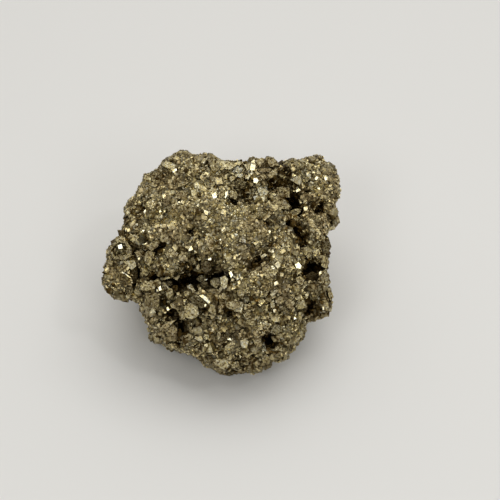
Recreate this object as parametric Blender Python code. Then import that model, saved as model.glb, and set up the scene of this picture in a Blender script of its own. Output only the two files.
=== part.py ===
"""A hand-sized pyrite specimen: one solid of intergrown crystals on a lumpy mass.

The lumps, the pits and the large crystals are placed in the axes of the display face, which leans
back from the upright: across (to the right), up (up the face) and out (out of the face), from the
middle of the mass. Across and up are as seen from DISPLAY_DISTANCE in front of it.
Lengths are millimetres while the mass is worked on, and the finished mesh is scaled to metres.
Row frame: +Z up, +X along the longest side, origin under the middle of the specimen where it rests.
"""

import math
import random

import bmesh
import bpy
import numpy as np
from mathutils import Euler, Matrix, Vector, noise
from mathutils.bvhtree import BVHTree

METRES_PER_MM = 0.001
NODE_NAME = "pyrite_cluster"

# Driving dimensions, mm.
WIDTH = 57.0
DISPLAY_LEAN = math.radians(55)  # how far the display face's normal tips up from level
DISPLAY_DISTANCE = 286.0
DOME_WIDTH = 57.0
DOME_HEIGHT = 55.0
DOME_DEPTH = 19.5
FACE_REACH = DOME_DEPTH / 2  # how far in or out of its middle a hollow or a pit still reaches the skin
CORE_RADII = (22.0, 20.0, 17.0)
CORE_CENTRE = (0.5, 1.0, 0.5)
REST_LEVEL = -16.5  # the broken base, below the middle of the mass

# How finely the mass is made.
MASS_CELL = 0.9
NODULE_SPACING = 2.8
NODULE_HEIGHT = 1.3
NODULE_LEVEL = 0.4  # the share of a nodule's spacing from its middle where the skin stays
MASS_TRIANGLES = 3600
TRIANGLES = 9500  # of the finished solid, before its base is broken flat

# Lumps of the display face: across, up, radius, how proud of the dome, stretch across and up.
FACE_LUMPS = (
    # upper left dome and its stepped outline
    (-9.0, 20.6, 6.2, 0.5, 1.0, 1.0),
    (-14.2, 16.6, 5.2, 0.3, 1.0, 1.0),
    (-18.2, 12.0, 5.0, 0.4, 1.0, 1.0),
    (-19.8, 6.2, 4.4, 0.6, 1.0, 1.0),
    (-4.0, 17.0, 9.0, 1.2, 1.1, 1.0),
    (-12.0, 12.5, 8.5, 0.8, 1.0, 1.0),
    (-2.0, 9.5, 9.5, 1.8, 1.0, 1.0),
    (-14.0, 5.6, 6.5, 0.9, 1.1, 0.9),
    (-6.5, 4.0, 7.0, 1.3, 1.0, 0.9),
    (5.0, 4.6, 7.4, 2.0, 1.0, 1.0),
    (10.0, 10.5, 6.6, 0.9, 1.0, 1.0),
    # top edge between the two domes
    (1.8, 21.0, 4.6, 0.2, 1.3, 0.8),
    (9.5, 21.0, 4.6, 0.3, 1.1, 1.0),
    # right dome
    (21.6, 17.6, 7.0, 2.2, 1.0, 1.1),
    (17.0, 21.0, 4.2, 1.2, 1.0, 1.0),
    (23.0, 12.0, 5.0, 1.6, 1.0, 1.0),
    # right side, going down
    (19.8, 7.4, 5.4, 1.2, 1.1, 0.8),
    (21.6, 1.6, 4.6, 1.0, 1.0, 1.0),
    (21.8, -4.2, 4.4, 0.8, 0.9, 1.0),
    (22.4, -9.6, 4.3, 1.6, 1.0, 1.0),
    # lower front
    (14.0, 1.0, 7.0, 1.0, 1.0, 0.9),
    (15.0, -6.5, 7.0, 1.0, 1.0, 1.0),
    (7.5, -6.0, 7.4, 1.0, 1.0, 0.9),
    (12.6, -13.0, 7.4, 1.2, 1.0, 1.0),
    (5.5, -13.5, 7.8, 1.1, 1.0, 1.0),
    (13.0, -18.6, 5.2, 1.2, 1.0, 1.0),
    (7.5, -21.6, 5.4, 1.4, 1.1, 0.9),
    (0.0, -20.0, 6.0, 1.1, 1.1, 0.9),
    (-4.5, -15.0, 7.0, 1.0, 1.0, 1.0),
    (-1.0, -8.5, 6.6, 0.6, 1.0, 0.9),
    (-8.0, -9.6, 6.2, 0.7, 1.0, 0.9),
    (-13.6, -10.2, 5.8, 0.6, 1.0, 1.0),
    (-10.0, -15.6, 5.4, 0.8, 1.0, 1.0),
    (-16.0, -6.4, 5.0, 0.5, 1.1, 0.8),
    # left ear and the shelf over the central cleft
    (-24.0, -2.8, 4.8, 3.0, 0.9, 1.25),
    (-23.6, 2.6, 3.6, 2.8, 1.0, 1.0),
    (-18.4, 0.0, 5.4, 0.6, 1.0, 0.9),
    (-12.6, -0.4, 5.2, 1.2, 1.3, 0.8),
)

# Lumps of the back and flanks: along X, Y and Z from the middle, and radius.
BACK_LUMPS = (
    (-16.5, 8.0, -2.0, 7.2),
    (-9.5, 17.0, -1.5, 8.0),
    (0.5, 19.5, 0.5, 7.2),
    (10.5, 18.0, -1.5, 7.8),
    (18.2, 10.5, -2.5, 7.2),
    (18.5, 1.0, -8.0, 7.6),
    (-16.0, -0.5, -7.0, 6.6),
    (-12.0, 11.0, -9.5, 9.0),
    (-1.0, 14.0, -10.0, 9.5),
    (11.5, 11.0, -10.0, 9.5),
    (12.5, -8.0, -11.5, 9.0),
    (2.0, -13.5, -11.5, 9.5),
    (-9.0, -8.5, -10.5, 9.0),
    (5.0, 10.0, 11.0, 8.0),
    (-6.5, 9.5, 11.0, 8.0),
    (14.5, 9.5, 8.5, 7.0),
    (-14.5, 8.0, 7.0, 6.6),
    (-9.0, 15.5, 7.0, 7.0),
    (0.5, 18.0, 6.5, 5.8),
    (10.0, 15.5, 6.5, 6.2),
    (16.5, 11.0, 5.5, 6.4),
    (20.0, 8.5, 3.5, 5.2),
    (-15.5, 9.0, 3.5, 6.0),
    (0.5, 0.5, -9.0, 12.0),
    (0.5, -6.0, -11.0, 8.5),
    (0.5, 8.0, -11.0, 8.5),
)

# Hollows between the lumps: across, up, depth, half length, half width, turn of the long side in degrees.
FACE_HOLLOWS = (
    (-7.5, -3.6, 5.0, 9.5, 3.4, -4),
    (17.4, 13.0, 3.6, 6.5, 2.6, -72),
    (19.6, 4.0, 2.8, 5.0, 2.0, -62),
    (-20.6, -1.0, 3.4, 5.0, 1.8, 84),
    (-11.5, -13.0, 2.8, 6.0, 2.0, -58),
    (14.2, 22.8, 3.4, 3.6, 1.8, 88),
    (19.4, -8.0, 3.2, 5.0, 1.9, 62),
    (8.6, 2.0, 2.6, 5.5, 2.2, 30),
    (4.6, 15.4, 2.4, 5.5, 2.2, -18),
    (-14.6, 4.8, 2.4, 4.0, 1.8, 40),
    (-3.0, -6.4, 2.6, 5.0, 2.0, -28),
    (11.0, -18.4, 3.2, 3.0, 2.2, 60),
    (4.0, -17.0, 2.2, 4.5, 1.8, 20),
    (9.6, -9.6, 2.0, 4.5, 1.6, -40),
    (-17.6, 9.6, 2.2, 4.0, 1.8, 60),
)

# Pits of the display face: across, up, depth, half length, half width, turn of the long side in degrees.
FACE_PITS = (
    (-7.6, -4.3, 7.5, 5.4, 2.0, 10),
    (-13.4, -4.2, 5.0, 3.6, 1.0, -14),
    (-0.6, -3.4, 6.0, 2.8, 1.4, 4),
    (-13.8, 4.0, 4.0, 1.9, 0.8, 48),
    (-7.6, 7.6, 3.0, 1.1, 0.9, 0),
    (2.9, 15.0, 3.0, 1.5, 0.9, -10),
    (16.8, 14.6, 5.5, 3.0, 1.5, -40),
    (12.5, 18.6, 3.5, 1.8, 1.2, 20),
    (24.2, 12.8, 4.5, 1.5, 1.3, 20),
    (17.6, 8.2, 5.0, 3.0, 1.0, -48),
    (11.4, 9.3, 2.5, 1.5, 0.8, -20),
    (8.4, -0.1, 4.5, 2.5, 1.0, 38),
    (21.6, -1.6, 5.5, 2.4, 1.2, 26),
    (11.7, -18.7, 5.0, 1.5, 1.4, 85),
    (-9.9, -15.6, 4.5, 2.1, 0.7, 82),
    (-14.0, -9.4, 3.5, 1.7, 0.6, 84),
    (21.4, -11.2, 4.5, 2.4, 1.0, 58),
    (2.2, -12.0, 3.5, 2.0, 0.7, 72),
    (-19.8, 12.6, 2.5, 1.4, 1.0, 10),
    (-20.3, -4.0, 4.0, 2.6, 0.8, 80),
)

# Large crystals of the display face: habit, across, up, size, turn and lean in degrees, and how far
# the tip stands off the mass.
FACE_CRYSTALS = (
    ("pyritohedron", -24.3, 3.4, 3.9, 15, 10, 1.6),
    ("cube", -22.6, -0.6, 3.2, 30, 35, 1.1),
    ("cube", -24.2, -4.2, 3.7, 62, 28, 1.3),
    ("octahedron", 1.4, 23.6, 4.4, 20, 20, 1.8),
    ("cube", 3.6, 22.0, 2.5, 50, 35, 0.8),
    ("octahedron", 11.4, 24.0, 4.2, 0, 15, 1.8),
    ("cube", 11.0, 21.4, 3.2, 35, 40, 1.1),
    ("pyritohedron", 13.2, 21.4, 3.0, 10, 25, 1.3),
    ("octahedron", 4.0, 18.8, 3.4, 60, 30, 1.4),
    ("cube", 18.2, 19.6, 2.4, 20, 30, 0.8),
    ("octahedron", 10.0, 16.6, 3.0, 40, 25, 1.3),
    ("cube", 2.8, 16.6, 2.2, 70, 30, 0.8),
    ("pyritohedron", 0.0, 17.0, 2.4, 0, 20, 1.0),
    ("pyritohedron", 20.0, 14.4, 2.4, 0, 10, 1.0),
    ("cube", 18.0, 12.2, 2.7, 25, 35, 0.9),
    ("cube", -13.6, 5.8, 2.5, 15, 30, 0.8),
    ("cube", -19.6, 2.2, 2.9, 50, 35, 1.0),
    ("cube", -17.6, 1.2, 3.4, 20, 35, 1.2),
    ("cube", -11.4, 2.8, 3.0, 70, 35, 1.0),
    ("octahedron", -8.6, 1.2, 2.7, 10, 30, 1.1),
    ("slab", -15.8, -5.6, 4.7, -6, 20, 2.6),
    ("cube", -12.6, -7.2, 2.4, 0, 25, 0.8),
    ("pyritohedron", -4.0, -1.2, 2.9, 30, 15, 1.2),
    ("cube", 1.0, -4.8, 4.7, 10, 25, 1.6),
    ("cube", -2.6, -6.0, 2.9, 55, 30, 1.0),
    ("pyritohedron", -4.4, -9.2, 3.7, 15, 20, 1.5),
    ("slab", -1.8, -10.2, 4.0, 85, 50, 2.2),
    ("slab", -0.2, -10.8, 3.5, 80, 55, 1.9),
    ("cube", -8.4, -11.0, 3.4, 5, 25, 1.2),
    ("cube", -17.6, -10.2, 3.7, 10, 30, 1.3),
    ("octahedron", -12.8, -15.0, 2.9, 40, 20, 1.2),
    ("slab", -9.0, -16.8, 3.9, 84, 60, 2.1),
    ("pyritohedron", -3.2, 4.2, 4.0, 45, 10, 1.7),
    ("cube", 21.2, 2.4, 2.9, 60, 35, 1.0),
    ("slab", 24.6, -3.8, 3.4, 84, 30, 2.2),
    ("cube", 19.2, -9.4, 3.2, 20, 30, 1.1),
    ("pyritohedron", 18.8, -0.4, 2.0, 0, 20, 0.8),
    ("cube", 0.2, -24.0, 4.0, 15, 25, 1.3),
    ("octahedron", 8.4, -9.6, 3.2, 25, 25, 1.3),
    ("pyritohedron", 25.0, -9.6, 3.0, 0, 20, 1.3),
)

# The cover of smaller crystals: fine on the display face, coarser on the back and below.
SEED = 2011
FACE_SPACING = 3.0
BACK_SPACING = 4.7
EDGE_SHARE = 0.75  # of the way from the back's spacing to the face's, at the face's outline
SPACING_RUN = 16.0  # how far out of the display face the whole change takes
COVER_TRIES = 16000
COVER_SIZES = (1.1, 1.4)  # in spacings
COVER_STANDS = (0.12, 0.34)  # how far a crystal's tip stands off the mass, in spacings
COVER_LEANS = (0.15, 1.0)
COVER_HABITS = ("cube", "cube", "octahedron", "long cube", "cut cube")

# A pit is an uneven funnel, with the square print of a crystal beside its middle.
PIT_CORNERS = 6
PIT_MOUTH_ABOVE = 2.5
PIT_MOUTH_SPREAD = (1.0, 1.9)
PIT_FLOOR_SPREAD = (0.4, 0.8)
PRINT_RIM = (1.5, 1.5)
PRINT_FLOOR = (1.0, 1.0)
PRINT_DEPTH = 0.6  # of its pit's
PRINT_OFFSET = 0.6  # of the pit's half length, at most
PIT_RIM = 0.4  # kept free of the cover's crystals around a pit

PYRITOHEDRON_SLANT = 0.5
OCTAHEDRON_REACH = 0.62
SLAB_SIDES = (1.0, 0.62, 0.42)
LONG_CUBE_SIDES = (1.0, 0.7, 0.8)
CORNER_CUT = 0.3
LEAN_SKEW = 0.35  # how much of a crystal's lean is also about its second axis


def clear_scene():
    for obj in list(bpy.data.objects):
        bpy.data.objects.remove(obj)


def pyrite_material():
    material = bpy.data.materials.new("pyrite")
    material.use_nodes = True
    shader = material.node_tree.nodes["Principled BSDF"]
    shader.inputs["Base Color"].default_value = (0.52, 0.44, 0.26, 1)
    shader.inputs["Metallic"].default_value = 1.0
    shader.inputs["Roughness"].default_value = 0.35
    return material


def object_from(bm, name):
    mesh = bpy.data.meshes.new(name)
    bm.to_mesh(mesh)
    bm.free()
    obj = bpy.data.objects.new(name, mesh)
    bpy.context.scene.collection.objects.link(obj)
    return obj


def apply_modifiers(obj):
    """Makes the object's evaluated shape its own mesh."""
    bpy.context.view_layer.update()
    graph = bpy.context.evaluated_depsgraph_get()
    made = bpy.data.meshes.new_from_object(obj.evaluated_get(graph))
    obj.modifiers.clear()
    obj.data = made


def combine(obj, other, operation):
    """Joins the other shape to the object, or cuts it out, and removes the other."""
    modifier = obj.modifiers.new(operation, "BOOLEAN")
    modifier.operation = operation
    modifier.object = other
    modifier.use_self = True
    apply_modifiers(obj)
    bpy.data.objects.remove(other)


def display_axes():
    """Turns across, up and out into the row's X, Y and Z."""
    lean = DISPLAY_LEAN
    across = Vector((1, 0, 0))
    up = Vector((0, math.sin(lean), math.cos(lean)))
    out = Vector((0, -math.cos(lean), math.sin(lean)))
    return Matrix((across, up, out)).transposed()


AXES = display_axes()
OUT = AXES @ Vector((0, 0, 1))


def turned_axes(degrees):
    """The display face's axes, turned about the way out of it."""
    return AXES @ Matrix.Rotation(math.radians(degrees), 3, "Z")


def dome_out(across, up):
    """How far out the display face's dome stands at that place."""
    share = 1 - (2 * across / DOME_WIDTH) ** 2 - (2 * up / DOME_HEIGHT) ** 2
    return DOME_DEPTH * math.sqrt(max(0.0, share))


def seen_place(across, up, out):
    """The point that far out which is seen at that place of the display face."""
    nearer = 1 - out / DISPLAY_DISTANCE
    return AXES @ Vector((across * nearer, up * nearer, out))


def face_point(tree, across, up):
    """The place and normal of the mass that is seen at that place of the display face."""
    viewer = AXES @ Vector((0, 0, DISPLAY_DISTANCE))
    place, normal, _, _ = tree.ray_cast(viewer, seen_place(across, up, 0) - viewer)
    if place is None:
        place, normal, _, _ = tree.find_nearest(seen_place(across, up, 0))
    return place, normal


def add_ellipsoid(bm, centre, radii, turn):
    place = Matrix.Translation(centre) @ turn.to_4x4() @ Matrix.Diagonal((*radii, 1))
    bmesh.ops.create_icosphere(bm, subdivisions=3, radius=1.0, matrix=place)


def lumpy_mass():
    """The core and every lump, grown together into one closed skin."""
    bm = bmesh.new()
    level = Matrix.Identity(3)
    add_ellipsoid(bm, CORE_CENTRE, CORE_RADII, level)
    for across, up, radius, proud, stretch_across, stretch_up in FACE_LUMPS:
        centre = seen_place(across, up, dome_out(across, up) - radius + proud)
        radii = (radius * stretch_across, radius * stretch_up, radius)
        add_ellipsoid(bm, centre, radii, AXES)
    for x, y, z, radius in BACK_LUMPS:
        add_ellipsoid(bm, (x, y, z), (radius, radius, radius), level)
    mass = object_from(bm, "mass")
    skin = mass.modifiers.new("grown together", "REMESH")
    skin.mode = "VOXEL"
    skin.voxel_size = MASS_CELL
    apply_modifiers(mass)
    return mass


def sink_hollows(mass):
    """Presses the hollows straight in from the display face."""
    for across, up, depth, half_length, half_width, turn in FACE_HOLLOWS:
        turned = turned_axes(turn)
        middle = seen_place(across, up, dome_out(across, up))
        for vertex in mass.data.vertices:
            offset = turned.transposed() @ (vertex.co - middle)
            share = (offset.x / half_length) ** 2 + (offset.y / half_width) ** 2
            if share < 1 and abs(offset.z) < FACE_REACH:
                vertex.co -= OUT * depth * (1 - share)


def roughen(mass):
    """Gives the skin round-topped nodules with creases between them."""
    for vertex, normal in [(v, v.normal.copy()) for v in mass.data.vertices]:
        nearest = noise.voronoi(vertex.co / NODULE_SPACING)[0][0]
        vertex.co += normal * NODULE_HEIGHT * (NODULE_LEVEL - nearest)
    mass.data.update()


def thin_out(obj, triangles):
    """Keeps about that many flat faces, and loses the flattest edges first."""
    bm = bmesh.new()
    bm.from_mesh(obj.data)
    bmesh.ops.triangulate(bm, faces=bm.faces)
    count = len(bm.faces)
    bm.to_mesh(obj.data)
    bm.free()
    if count > triangles:
        modifier = obj.modifiers.new("thin out", "DECIMATE")
        modifier.ratio = triangles / count
        modifier.use_collapse_triangulate = True
        apply_modifiers(obj)


def cube_corners():
    return [Vector((x, y, z)) for x in (-1, 1) for y in (-1, 1) for z in (-1, 1)]


def habit_points(habit):
    """The corners of a crystal that is 1 across, before it is turned and sized."""
    if habit == "octahedron":
        sides = [Vector((1, 0, 0)), Vector((0, 1, 0)), Vector((0, 0, 1))]
        return [side * reach for side in sides for reach in (-OCTAHEDRON_REACH, OCTAHEDRON_REACH)]
    if habit == "pyritohedron":
        long, short = 1 + PYRITOHEDRON_SLANT, 1 - PYRITOHEDRON_SLANT**2
        roof = []
        for a in (-long, long):
            for b in (-short, short):
                roof += [Vector((0, a, b)), Vector((b, 0, a)), Vector((a, b, 0))]
        return [point / (2 * long) for point in cube_corners() + roof]
    if habit == "cut cube":
        cut_corner = Vector((1, 1, 1))
        steps = [cut_corner - 2 * CORNER_CUT * side for side in Matrix.Identity(3)]
        return [point * 0.5 for point in cube_corners() + steps if point != cut_corner]
    sides = {"slab": SLAB_SIDES, "long cube": LONG_CUBE_SIDES}.get(habit, (1, 1, 1))
    return [Matrix.Diagonal(sides) @ corner * 0.5 for corner in cube_corners()]


def crystal_form(habit):
    """The corners and the flat faces of a habit's crystal."""
    bm = bmesh.new()
    corners = [bm.verts.new(point) for point in habit_points(habit)]
    bmesh.ops.convex_hull(bm, input=corners)
    bmesh.ops.dissolve_limit(bm, angle_limit=math.radians(1), verts=bm.verts, edges=bm.edges)
    bm.verts.index_update()
    form = [v.co.copy() for v in bm.verts], [[v.index for v in f.verts] for f in bm.faces]
    bm.free()
    return form


class Growth:
    """Crystals gathered into one mesh, each a closed body of its own."""

    def __init__(self):
        self.forms = {}
        self.points = []
        self.faces = []

    def add(self, habit, place, normal, size, turn, lean, stand):
        """A crystal whose tip stands that far off the mass at the place."""
        if habit not in self.forms:
            self.forms[habit] = crystal_form(habit)
        corners, faces = self.forms[habit]
        upright = normal.to_track_quat("Z", "Y").to_matrix()
        turned = upright @ Euler((lean, LEAN_SKEW * lean, turn), "XYZ").to_matrix() * size
        reach = max((turned @ corner).dot(normal) for corner in corners)
        centre = place + normal * (stand - reach)
        first = len(self.points)
        self.points += [centre + turned @ corner for corner in corners]
        self.faces += [[first + index for index in face] for face in faces]

    def as_object(self, name):
        mesh = bpy.data.meshes.new(name)
        mesh.from_pydata(self.points, [], self.faces)
        obj = bpy.data.objects.new(name, mesh)
        bpy.context.scene.collection.objects.link(obj)
        return obj


def over_a_pit(place, mouths):
    """Whether the place is inside a pit's rim."""
    for mouth, _, half_length, half_width, turned in mouths:
        offset = turned.transposed() @ (place - mouth)
        share = (offset.x / (half_length + PIT_RIM)) ** 2 + (offset.y / (half_width + PIT_RIM)) ** 2
        if share < 1 and abs(offset.z) < FACE_REACH:
            return True
    return False


def cover_places(mass, taken, mouths, chooser):
    """Seeded places all over the mass, a spacing apart, clear of the pits and of those taken."""
    bm = bmesh.new()
    bm.from_mesh(mass.data)
    faces = [f for f in bm.faces if f.calc_center_median().z > REST_LEVEL]
    areas = [f.calc_area() for f in faces]
    points = np.array([place for place, _ in taken])
    rooms = np.array([room for _, room in taken])
    places = []
    for face in chooser.choices(faces, weights=areas, k=COVER_TRIES):
        place = face.calc_center_median()
        share = min(1.0, max(0.0, EDGE_SHARE + place.dot(OUT) / SPACING_RUN))
        spacing = BACK_SPACING + (FACE_SPACING - BACK_SPACING) * share
        apart = np.linalg.norm(points - place, axis=1)
        if (apart < (rooms + spacing) / 2).any() or over_a_pit(place, mouths):
            continue
        points = np.vstack((points, place))
        rooms = np.append(rooms, spacing)
        places.append((place, face.normal.copy(), spacing))
    bm.free()
    return places


def grow_crystals(mass, tree, mouths):
    """Every crystal, the large ones where they are seen and the cover around them."""
    chooser = random.Random(SEED)
    growth = Growth()
    taken = []
    for habit, across, up, size, turn, lean, stand in FACE_CRYSTALS:
        place, normal = face_point(tree, across, up)
        facing = (normal + OUT).normalized()
        growth.add(habit, place, facing, size, math.radians(turn), math.radians(lean), stand)
        taken.append((place, size))
    for place, normal, spacing in cover_places(mass, taken, mouths, chooser):
        habit = chooser.choice(COVER_HABITS)
        size = spacing * chooser.uniform(*COVER_SIZES)
        turn = chooser.uniform(0, math.tau)
        lean = chooser.uniform(*COVER_LEANS)
        growth.add(habit, place, normal, size, turn, lean, spacing * chooser.uniform(*COVER_STANDS))
    return growth.as_object("crystals")


def pit_mouths(tree):
    """Where each pit opens, its depth, its half sizes at the mouth, and its axes."""
    mouths = []
    for across, up, depth, half_length, half_width, turn in FACE_PITS:
        place = face_point(tree, across, up)[0]
        mouths.append((place, depth, half_length, half_width, turned_axes(turn)))
    return mouths


def funnel(bm, mouth, turned, rim, floor, depth):
    """A flat-sided funnel from its rim's corners, above the mouth, to its floor's."""
    corners = [Vector((x, y, PIT_MOUTH_ABOVE)) for x, y in rim]
    corners += [Vector((x, y, -depth)) for x, y in floor]
    bmesh.ops.convex_hull(bm, input=[bm.verts.new(mouth + turned @ corner) for corner in corners])


def ring(count, reach_x, reach_y, turn, spread, chooser):
    """Corners round an oval, each at its own share of the oval's reach."""
    angles = [turn + math.tau * corner / count for corner in range(count)]
    shares = [chooser.uniform(*spread) for _ in angles]
    return [(reach_x * math.cos(a) * k, reach_y * math.sin(a) * k) for a, k in zip(angles, shares)]


def pit_cutter(mouths):
    """The funnels that run straight in from the display face."""
    chooser = random.Random(SEED)
    bm = bmesh.new()
    for mouth, depth, half_length, half_width, turned in mouths:
        turn = chooser.uniform(0, math.tau)
        rim = ring(PIT_CORNERS, half_length, half_width, turn, PIT_MOUTH_SPREAD, chooser)
        floor = ring(PIT_CORNERS, half_length, half_width, turn, PIT_FLOOR_SPREAD, chooser)
        funnel(bm, mouth, turned, rim, floor, depth)
        turn = chooser.uniform(0, math.tau)
        beside = turned @ Vector((chooser.uniform(-PRINT_OFFSET, PRINT_OFFSET) * half_length, 0, 0))
        rim = ring(4, half_width, half_width, turn, PRINT_RIM, chooser)
        floor = ring(4, half_width, half_width, turn, PRINT_FLOOR, chooser)
        funnel(bm, mouth + beside, turned, rim, floor, depth * PRINT_DEPTH)
    return object_from(bm, "pits")


def keep_outer_skin(obj):
    """Fills what closed in between crystals, and drops chips that nothing holds."""
    bm = bmesh.new()
    bm.from_mesh(obj.data)
    left = set(bm.faces)
    shells = []
    while left:
        reached = [left.pop()]
        for face in reached:
            beside = [other for edge in face.edges if edge.is_manifold for other in edge.link_faces]
            for other in left.intersection(beside):
                left.remove(other)
                reached.append(other)
        shells.append(reached)
    shells.sort(key=len)
    spare = [face for shell in shells[:-1] for face in shell]
    bmesh.ops.delete(bm, geom=spare, context="FACES")
    bm.to_mesh(obj.data)
    bm.free()


def break_base(mass):
    """The flat break that the specimen rests on."""
    bm = bmesh.new()
    below = Matrix.Translation((0, 0, REST_LEVEL - WIDTH / 2))
    bmesh.ops.create_cube(bm, size=1, matrix=below @ Matrix.Diagonal((2 * WIDTH, 2 * WIDTH, WIDTH, 1)))
    combine(mass, object_from(bm, "below the break"), "DIFFERENCE")


def set_down(mass):
    """Scales to metres, with the origin under the middle of the box."""
    points = [v.co for v in mass.data.vertices]
    low = Vector([min(p[i] for p in points) for i in range(3)])
    high = Vector([max(p[i] for p in points) for i in range(3)])
    foot = Vector(((low.x + high.x) / 2, (low.y + high.y) / 2, low.z))
    mass.data.transform(Matrix.Scale(METRES_PER_MM, 4) @ Matrix.Translation(-foot))


def build():
    clear_scene()
    mass = lumpy_mass()
    sink_hollows(mass)
    roughen(mass)
    tree = BVHTree.FromObject(mass, bpy.context.evaluated_depsgraph_get())
    mouths = pit_mouths(tree)
    crystals = grow_crystals(mass, tree, mouths)
    thin_out(mass, MASS_TRIANGLES)
    combine(mass, crystals, "UNION")
    combine(mass, pit_cutter(mouths), "DIFFERENCE")
    keep_outer_skin(mass)
    thin_out(mass, TRIANGLES)
    break_base(mass)
    keep_outer_skin(mass)
    set_down(mass)
    mass.name = NODE_NAME
    mass.data.name = NODE_NAME
    mass.data.materials.clear()
    mass.data.materials.append(pyrite_material())


build()
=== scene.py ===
"""The looks of a hand-sized pyrite specimen, laid out as a Blender add-on.

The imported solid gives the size, the lumps, the hollows and the pits. Here its skin is worn to
lumps, and every crystal that shows grows on it: large ones at their own places, middling ones
closest in the blocky stretches, and a fine crust of small ones all over.
Tables and working meshes are in millimetres. Finished meshes are in metres.
The display face has axes of its own, from the middle of the specimen: across (to the right),
up (up the face) and out (out of the face).
"""

import math

import bpy
import numpy as np
from bpy.props import FloatProperty, FloatVectorProperty, IntProperty, PointerProperty
from bpy.types import Operator, Panel, PropertyGroup
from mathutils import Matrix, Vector, kdtree, noise
from mathutils.bvhtree import BVHTree


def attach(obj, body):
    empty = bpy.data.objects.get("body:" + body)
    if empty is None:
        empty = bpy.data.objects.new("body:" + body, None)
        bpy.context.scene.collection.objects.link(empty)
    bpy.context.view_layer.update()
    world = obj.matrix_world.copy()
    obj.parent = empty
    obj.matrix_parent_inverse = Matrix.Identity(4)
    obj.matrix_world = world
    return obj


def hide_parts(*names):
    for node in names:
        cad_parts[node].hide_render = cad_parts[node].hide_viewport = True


bl_info = {
    "name": "Pyrite specimen",
    "version": (1, 0, 0),
    "blender": (4, 5, 0),
    "location": "3D View > Sidebar > Pyrite",
    "description": "Grows the crystal crust of a pyrite specimen on its packed solid and lights it",
    "category": "Add Mesh",
}

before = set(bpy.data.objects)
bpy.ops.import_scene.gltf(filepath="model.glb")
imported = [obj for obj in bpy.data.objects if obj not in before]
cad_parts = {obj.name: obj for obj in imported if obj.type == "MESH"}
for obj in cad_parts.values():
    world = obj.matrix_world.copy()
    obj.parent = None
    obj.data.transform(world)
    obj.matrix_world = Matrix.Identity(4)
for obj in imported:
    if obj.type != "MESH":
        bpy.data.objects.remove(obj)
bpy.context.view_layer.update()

NODE = "pyrite_cluster"
MM = 0.001

# The display face, as the solid was laid out.
DISPLAY_LEAN = math.radians(55)
DISPLAY_DISTANCE = 286.0
MIDDLE = np.array((-0.66, 0.01, 16.5))
AXES = np.array(
    (
        (1, 0, 0),
        (0, math.sin(DISPLAY_LEAN), -math.cos(DISPLAY_LEAN)),
        (0, math.cos(DISPLAY_LEAN), math.sin(DISPLAY_LEAN)),
    )
)
OUT = AXES[:, 2]
FILL_PLACE = np.array((-280.0, -380.0, 540.0))  # the light that the bright faces mirror

SEED = 2011
PATCHES = 420  # neighbouring crystals of one patch grew about the same way round
PATCH_TURN = 0.28  # how far they stray from it, in radians

SKIN_STAND = 0.6  # how far the worn skin stands off the solid
FACE_STAND = 0.45  # how far every face of a large crystal does, on top of its own stand
FACE_ROOM = 0.3  # how far the skin sinks behind a face
LUMP_RISE = 1.4  # how high a lump stands in its middle, above its rim
DEEPEST = 6.0  # how deep a large crystal reaches at most
PLACES_TRIED = {"middling": 26000, "fine": 340000}
# The glinting grains are given the pale colour as a painted highlight, besides their gloss.
GLINTS = {"about": 0.018, "glittering": 0.12, "mirroring": 0.22}  # shares of the fine crust

# Stretches of the display face: across, up, radius, how blocky from 0 (fine crust) to 1 (blocks).
STRETCHES = (
    (-7.5, 15.0, 11.0, 0.05),
    (-15.0, 10.0, 7.0, 0.15),
    (23.5, 17.5, 8.0, 0.05),
    (6.5, 6.0, 8.0, 0.0),
    (14.0, 20.5, 7.5, 0.9),
    (4.0, 23.0, 5.0, 1.0),
    (14.5, 14.5, 5.5, 0.9),
    (-18.0, 2.5, 5.0, 0.9),
    (-24.0, -1.5, 6.0, 0.5),
    (-7.5, -9.0, 11.0, 1.0),
    (-16.0, -9.0, 6.0, 0.8),
    (2.0, -14.0, 7.0, 0.6),
    (2.0, -21.5, 7.0, 0.5),
    (13.5, -7.0, 7.0, 0.45),
    (11.0, -16.0, 6.0, 0.4),
    (23.0, 0.0, 6.0, 0.8),
    (22.5, -9.5, 5.5, 0.6),
    (17.0, 4.0, 5.0, 0.35),
)

# Tarnished and bright stretches of the display face: across, up, radius, and how bright the metal is
# made from 0 (tarnished) to 1.
# They are partly real tarnish and partly painted shade: the metal is painted darker towards the bottom.
CLEAN_AND_LIT = (
    (-11.0, 9.0, 5.0, 1.0),
    (-3.0, 11.0, 5.5, 1.0),
    (4.0, 12.0, 5.0, 1.0),
    (7.5, 16.0, 3.5, 1.0),
    (3.0, 4.5, 5.0, 1.0),
    (12.0, 5.5, 4.5, 0.8),
    (-6.0, 19.0, 5.0, 0.8),
    (22.0, 19.0, 4.5, 0.9),
    (4.0, -3.0, 4.0, 0.8),
    (-9.0, 1.5, 4.0, 0.6),
    (-24.5, -4.5, 4.0, 0.5),
    (-5.0, -23.0, 6.0, 0.0),
    (3.0, -24.0, 6.0, 0.0),
    (10.0, -22.0, 5.0, 0.2),
    (-9.0, -13.5, 5.0, 0.3),
    (0.0, -12.0, 5.0, 0.35),
    (18.0, 14.0, 4.0, 0.1),
    (13.0, 17.5, 3.5, 0.1),
    (26.0, 15.0, 3.0, 0.0),
    (-8.0, -9.0, 4.0, 0.15),
    (-1.0, -9.0, 4.0, 0.2),
    (-12.0, 20.0, 3.5, 0.2),
    (-9.0, 24.5, 3.0, 0.2),
    (-21.0, 14.0, 4.0, 0.3),
    (8.0, 10.0, 2.5, 0.4),
)

# Where the fine crust glitters: across, up and radius.
GLITTER = (
    (-13.0, 23.4, 2.2),
    (7.3, 23.2, 1.8),
    (-0.8, 17.4, 1.6),
    (3.4, 12.6, 2.6),
    (2.8, -1.2, 3.2),
    (23.5, 19.5, 3.0),
    (20.0, 13.0, 1.6),
    (-16.0, 6.0, 2.4),
    (17.5, 3.5, 2.2),
    (-23.5, -3.0, 1.6),
)
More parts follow.
